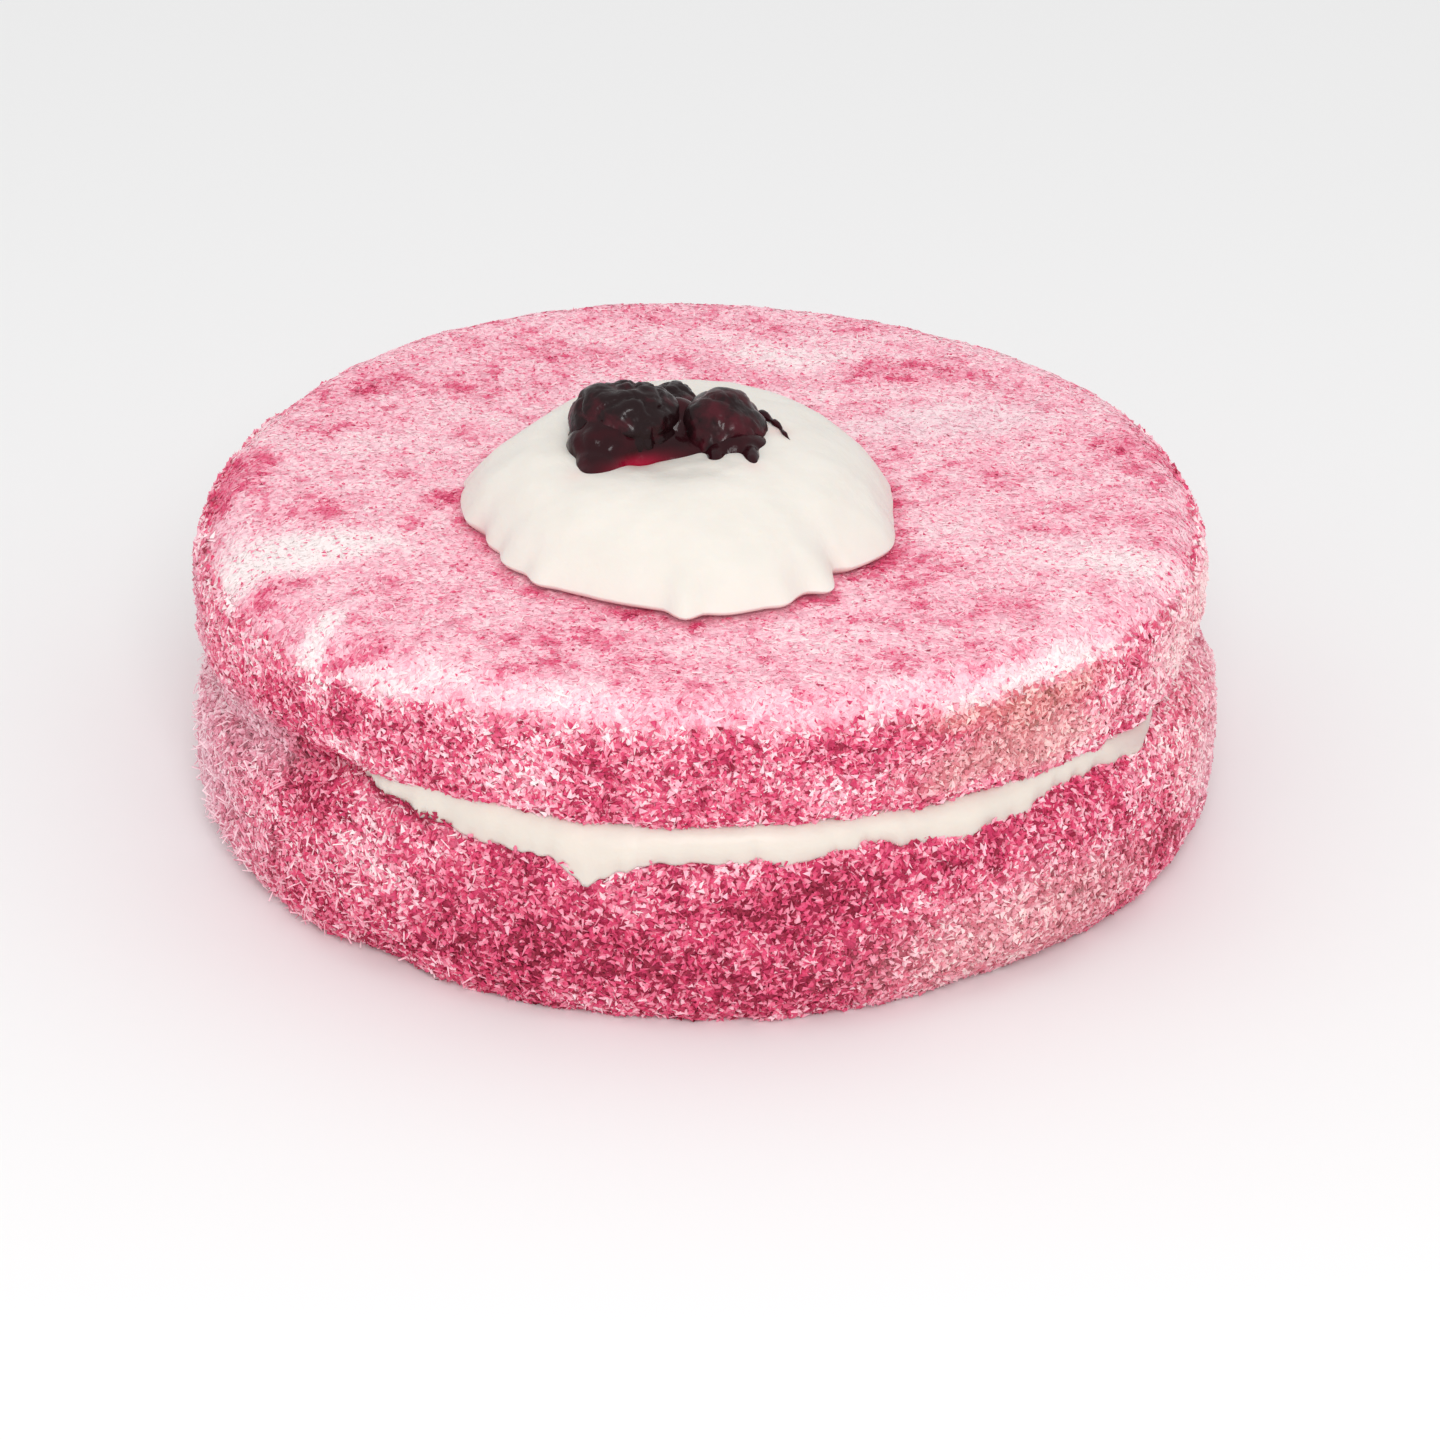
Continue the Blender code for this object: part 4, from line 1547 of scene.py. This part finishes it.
@dataclass
class Berry:
    """A dark berry in syrup."""

    name: str
    ball: Ball
    finish: BerryFinish

    def built(self, top: float) -> Piece:
        """Makes the piece, by the height of the cake's top."""
        piece = self.ball.skin(top).to_piece(self.name, self.finish.made())
        return dressed(piece, self.name)


@dataclass
class Jam:
    """The jam: a pool under the berries, with runs out in front, melted into one."""

    material: Material
    balls: tuple[Ball, ...] = (
        Ball((-6.5, -12.5, 13.6), (19.0, 10.0, 4.4), 8, 1.0, 81),
        Ball((-17.6, -17.6, 14.2), (8.8, 8.2, 7.6), 30, 1.3, 82, 0.7, 3.4),
        Ball((-19.6, -24.4, 12.9), (4.8, 7.0, 4.6), -20, 0.8, 83),
        Ball((-5.4, -11.4, 17.4), (5.4, 5.0, 5.6), 0, 0.6, 88),
        Ball((-9.5, -17.8, 14.0), (8.0, 4.6, 4.2), 32, 0.5, 84),
        Ball((6.0, -17.6, 14.4), (7.4, 5.0, 4.6), -6, 0.5, 85),
        Ball((2.4, -21.6, 14.8), (1.9, 4.4, 2.4), 6, 0.2, 86),
        Ball((9.0, -22.8, 15.2), (1.8, 5.4, 2.4), 8, 0.2, 87),
    )
    grain: float = 0.55
    smoothing: int = 7
    thin_foot: float = 0.12
    foot: Spot = (12.0, 14.0)
    red_spot: Spot = (-12.5, -25.5)
    red_reach: float = 6.0
    red_height: Spot = (14.0, 17.0)

    def built(self, top: float) -> Piece:
        """Makes the piece: the balls are remeshed into one body and smoothed.

        Args:
            top: The height of the cake's top.

        Returns:
            The piece.
        """
        skins = [ball.skin(top) for ball in self.balls]
        starts = np.cumsum([0] + [len(skin.points) for skin in skins])
        points = np.vstack([skin.points for skin in skins])
        triangles = np.vstack([skin.triangles + start for skin, start in zip(skins, starts)])
        piece = Skin(points, triangles).to_piece("jam", self.material)
        remesh = piece.modifiers.new("melt", "REMESH")
        remesh.mode, remesh.voxel_size, remesh.use_smooth_shade = "VOXEL", self.grain * MM, True
        piece.modifiers.new("smooth", "SMOOTH").iterations = self.smoothing
        graph = bpy.context.evaluated_depsgraph_get()
        mesh = bpy.data.meshes.new_from_object(piece.evaluated_get(graph))
        piece.modifiers.clear()
        piece.data = mesh
        melted = np.empty(len(mesh.vertices) * 3)
        mesh.vertices.foreach_get("co", melted)
        spots = melted.reshape(-1, 3) / MM - np.array([*self.red_spot, top])
        near = np.exp(-((radii_of(spots) / self.red_reach) ** 2))
        thin = self.thin_foot * (1 - smooth_step(*self.foot, spots[:, 2]))
        thin += near * (1 - smooth_step(*self.red_height, spots[:, 2]))
        own_colours(mesh, np.repeat(thin[:, None], 3, axis=1))
        return dressed(piece, "jam")


@dataclass
class JuiceThread:
    """A thin thread of dark juice that runs over the cream beside the right berry."""

    material: Material
    path: tuple[Spot, ...] = (
        *((10.6, -6.8), (12.6, -8.8), (13.6, -10.8)),
        *((14.8, -12.4), (15.4, -14.8), (16.8, -17.2)),
    )
    radii: Spot = (0.9, 0.25)
    wobble: float = 0.25
    wobbles: float = 17.0
    tip: float = 6.0
    lift: float = 0.4
    softened: int = 3
    rings: int = 36
    sides: int = 10

    def built(self, under: Skin) -> Piece:
        """Makes the piece.

        Args:
            under: The surface that it lies on.

        Returns:
            The piece.
        """
        share = np.linspace(0, 1, self.rings)
        stops = np.linspace(0, 1, len(self.path))
        level = np.stack([np.interp(share, stops, column) for column in zip(*self.path)], axis=-1)
        soft = np.pad(level, ((self.softened, self.softened), (0, 0)), mode="edge")
        level = np.mean([soft[i : i + self.rings] for i in range(2 * self.softened + 1)], axis=0)
        facing_up = under.points[under.normals()[:, 2] > 0.2]
        gap = np.linalg.norm(level[:, None] - facing_up[None, :, :2], axis=-1)
        height = facing_up[gap.argmin(axis=1), 2]
        radius = np.interp(share, (0, 1), self.radii) * np.minimum(1, self.tip * (1 - share) + 0.05)
        radius = radius * (1 + self.wobble * np.sin(share * self.wobbles))
        centre = np.concatenate([level, (height + radius * self.lift)[:, None]], axis=1)
        along = unit(np.gradient(centre, axis=0))
        side = unit(np.cross(along, [0.0, 0.0, 1.0]))[:, None]
        up = np.cross(side, along[:, None])
        turn = (np.arange(self.sides) * 2 * np.pi / self.sides)[:, None]
        ring = side * np.cos(turn) + up * np.sin(turn)
        rings = centre[:, None] + ring * radius[:, None, None]
        skin = Skin.closed(centre[0], rings, centre[-1])
        return dressed(skin.to_piece("juice_thread", self.material), "jam")


@dataclass(frozen=True)
class Studio:
    """The floor, the soft light, the sky and the camera."""

    camera_place: tuple[float, float, float] = (0.0, -0.8478, 0.4494)
    camera_tilt: tuple[float, float, float] = (62.768, 0.0, -0.2825)
    camera_roll: float = 1.0147
    lens: float = 117.98
    sensor: float = 36.0
    floor_size: float = 8.0
    sky: float = 0.82
    key_place: tuple[float, float, float] = (0.06, -0.95, 0.7)
    key_aim: tuple[float, float, float] = (0.0, 0.0, 0.04)
    key_size: float = 0.4
    key_power: float = 4.6

    def floor(self) -> None:
        """Lays the floor."""
        bpy.ops.mesh.primitive_plane_add(size=self.floor_size)
        floor = bpy.context.object
        floor.name = "floor"
        floor.data.materials.append(FloorFinish().made())

    def light(self) -> None:
        """Hangs the soft light, which faces the cake."""
        lamp = bpy.data.lights.new("key", "AREA")
        lamp.shape, lamp.size, lamp.energy = "DISK", self.key_size, self.key_power
        obj = bpy.data.objects.new("key", lamp)
        obj.location = self.key_place
        aim = Vector(self.key_aim) - obj.location
        obj.rotation_euler = aim.to_track_quat("-Z", "Y").to_euler()
        bpy.context.scene.collection.objects.link(obj)

    def surroundings(self) -> None:
        """Lights the scene evenly from all round."""
        world = bpy.data.worlds.new("soft_sky")
        world.use_nodes = True
        sky = world.node_tree.nodes["Background"].inputs
        sky["Color"].default_value, sky["Strength"].default_value = (1, 1, 1, 1), self.sky
        bpy.context.scene.world = world
        bpy.context.scene.view_settings.view_transform = "Standard"

    def camera(self) -> None:
        """Sets up the camera."""
        lens = bpy.data.cameras.new("camera")
        lens.lens, lens.sensor_width = self.lens, self.sensor
        obj = bpy.data.objects.new("camera", lens)
        turn = Euler(np.radians(self.camera_tilt)).to_matrix()
        roll = Euler((0, 0, np.radians(self.camera_roll))).to_matrix()
        obj.rotation_euler = (turn @ roll).to_euler()
        obj.location = self.camera_place
        bpy.context.scene.collection.objects.link(obj)
        bpy.context.scene.camera = obj


@dataclass
class Cake:
    """The whole cake."""

    form: Form = Form()
    berries: tuple[Berry, ...] = (
        Berry(
            "berry_left",
            Ball((-14.7, -13.2, 16.9), (11.2, 10.2, 9.8), 10, 1.6, 71, 0.9, 3.6, 110),
            BerryFinish("crinkled_berry"),
        ),
        Berry(
            "berry_right",
            Ball((3.6, -12.4, 15.6), (9.4, 8.6, 8.5), -20, 1.3, 74, 0.6, 4.6, 110),
            BerryFinish("wine_berry", wine_share=(0.40, 0.62)),
        ),
        Berry(
            "berry_back",
            Ball((-6.6, -0.8, 16.6), (6.0, 4.6, 4.6), -25, 0.8, 77, 0.4, 2.2),
            BerryFinish("small_berry"),
        ),
    )

    def __post_init__(self) -> None:
        """Shapes the dollop, which the coat's pattern goes round, and makes the coat's stuff."""
        self.dollop = Dollop(self.form)
        self.pattern = CoatPattern(self.dollop)
        self.crumb, self.coconut = SpongeFinish().made(), CoatFinish().made()

    def coat(self, region: Region, skin: Skin, node: str, seed: int, **roll: float) -> Coat:
        """Prepares the coat of one region."""
        return Coat(region, skin, node, self.pattern, self.coconut, seed, **roll)

    def lower(self) -> None:
        """Builds the lower layer and its coat, with long shreds at the left."""
        layer = LowerLayer(self.form, self.pattern, self.crumb)
        skin, exposed, _ = layer.shaped()
        report(layer.built(skin, exposed * 0))
        leftward = -np.sin(np.radians(bearings_of(skin.points)))
        fuzzy = exposed * smooth_step(*layer.fuzzy_left, leftward)
        coat = self.coat(layer.region, skin, layer.node, 201)
        for kind, weight in zip(layer.bits, (exposed, exposed, exposed, fuzzy)):
            report(coat.strewn(kind, weight))

    def seam(self) -> None:
        """Builds the coat in the seam."""
        ring = SeamCrumb(self.form, self.pattern, self.crumb)
        skin, exposed, _ = ring.shaped()
        report(ring.built(skin, exposed * 0))
        report(self.coat(ring.region, skin, ring.node, 251).strewn(ring.bits[0], exposed))

    def upper(self) -> None:
        """Builds the upper layer and the coats of its side and top."""
        layer = UpperLayer(self.form, self.pattern, self.crumb)
        skin, exposed, facing = layer.shaped()
        facing = self.pattern.rising(skin.points, facing)
        on_top = smooth_step(*layer.top_crumb, facing)
        report(layer.built(skin, on_top))
        side = exposed * (1 - smooth_step(*layer.top_bits, facing))
        coat = self.coat(layer.region, skin, layer.node, 301)
        for kind in layer.side_bits:
            report(coat.strewn(kind, side))
        outside = on_top * smooth_step(*layer.dollop_edge, self.dollop.reach_past(skin.points))
        deep = 1 - smooth_step(*layer.specks_gather, self.pattern.read(skin.points, Region.TOP)[0])
        clustered = outside * (layer.least_specks + deep**2)
        coat = self.coat(Region.TOP, skin, layer.node, 401, roll=layer.top_roll)
        for kind, weight in zip(layer.flat_bits, (outside, outside, clustered)):
            report(coat.strewn(kind, weight))

    def filling(self) -> None:
        """Builds the filling, and the flecks of the coat on it."""
        # partly painted shade: the filling's cream is a darker copy of the dollop's cream, as the seam
        # lies in shade
        inner = CreamFinish("filling_cream", (0.77, 0.70, 0.625), (0.73, 0.665, 0.595)).made()
        filling = CreamFilling(self.form, inner)
        skin = filling.skin()
        report(filling.built(skin))
        lip = filling.fleck_weight(skin)
        left = filling.left_flecks.at(bearings_of(skin.points))
        coat = self.coat(Region.LOWER_SIDE, skin, "cream_filling", 501)
        for kind, weight in zip(filling.flecks, (lip, lip * left)):
            report(coat.strewn(kind, weight))

    def toppings(self) -> None:
        """Builds the dollop, the berries, the jam and its thread of juice."""
        report(self.dollop.built(CreamFinish().made()))
        for berry in self.berries:
            report(berry.built(self.form.height))
        syrup = JamFinish().made()
        report(Jam(syrup).built(self.form.height))
        report(JuiceThread(syrup).built(self.dollop.skin()))


def report(piece: Piece) -> None:
    """Logs a piece."""
    log.info("%s: %d faces", piece.name, len(piece.data.polygons))


def main() -> None:
    """Loads the frame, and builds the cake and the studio."""
    logging.basicConfig(level=logging.INFO, format="%(message)s")
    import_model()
    cake, studio = Cake(), Studio()
    steps = (cake.lower, cake.seam, cake.upper, cake.filling, cake.toppings)
    for step in (*steps, studio.floor, studio.light, studio.surroundings, studio.camera):
        step()


if __name__ == "__main__":
    main()
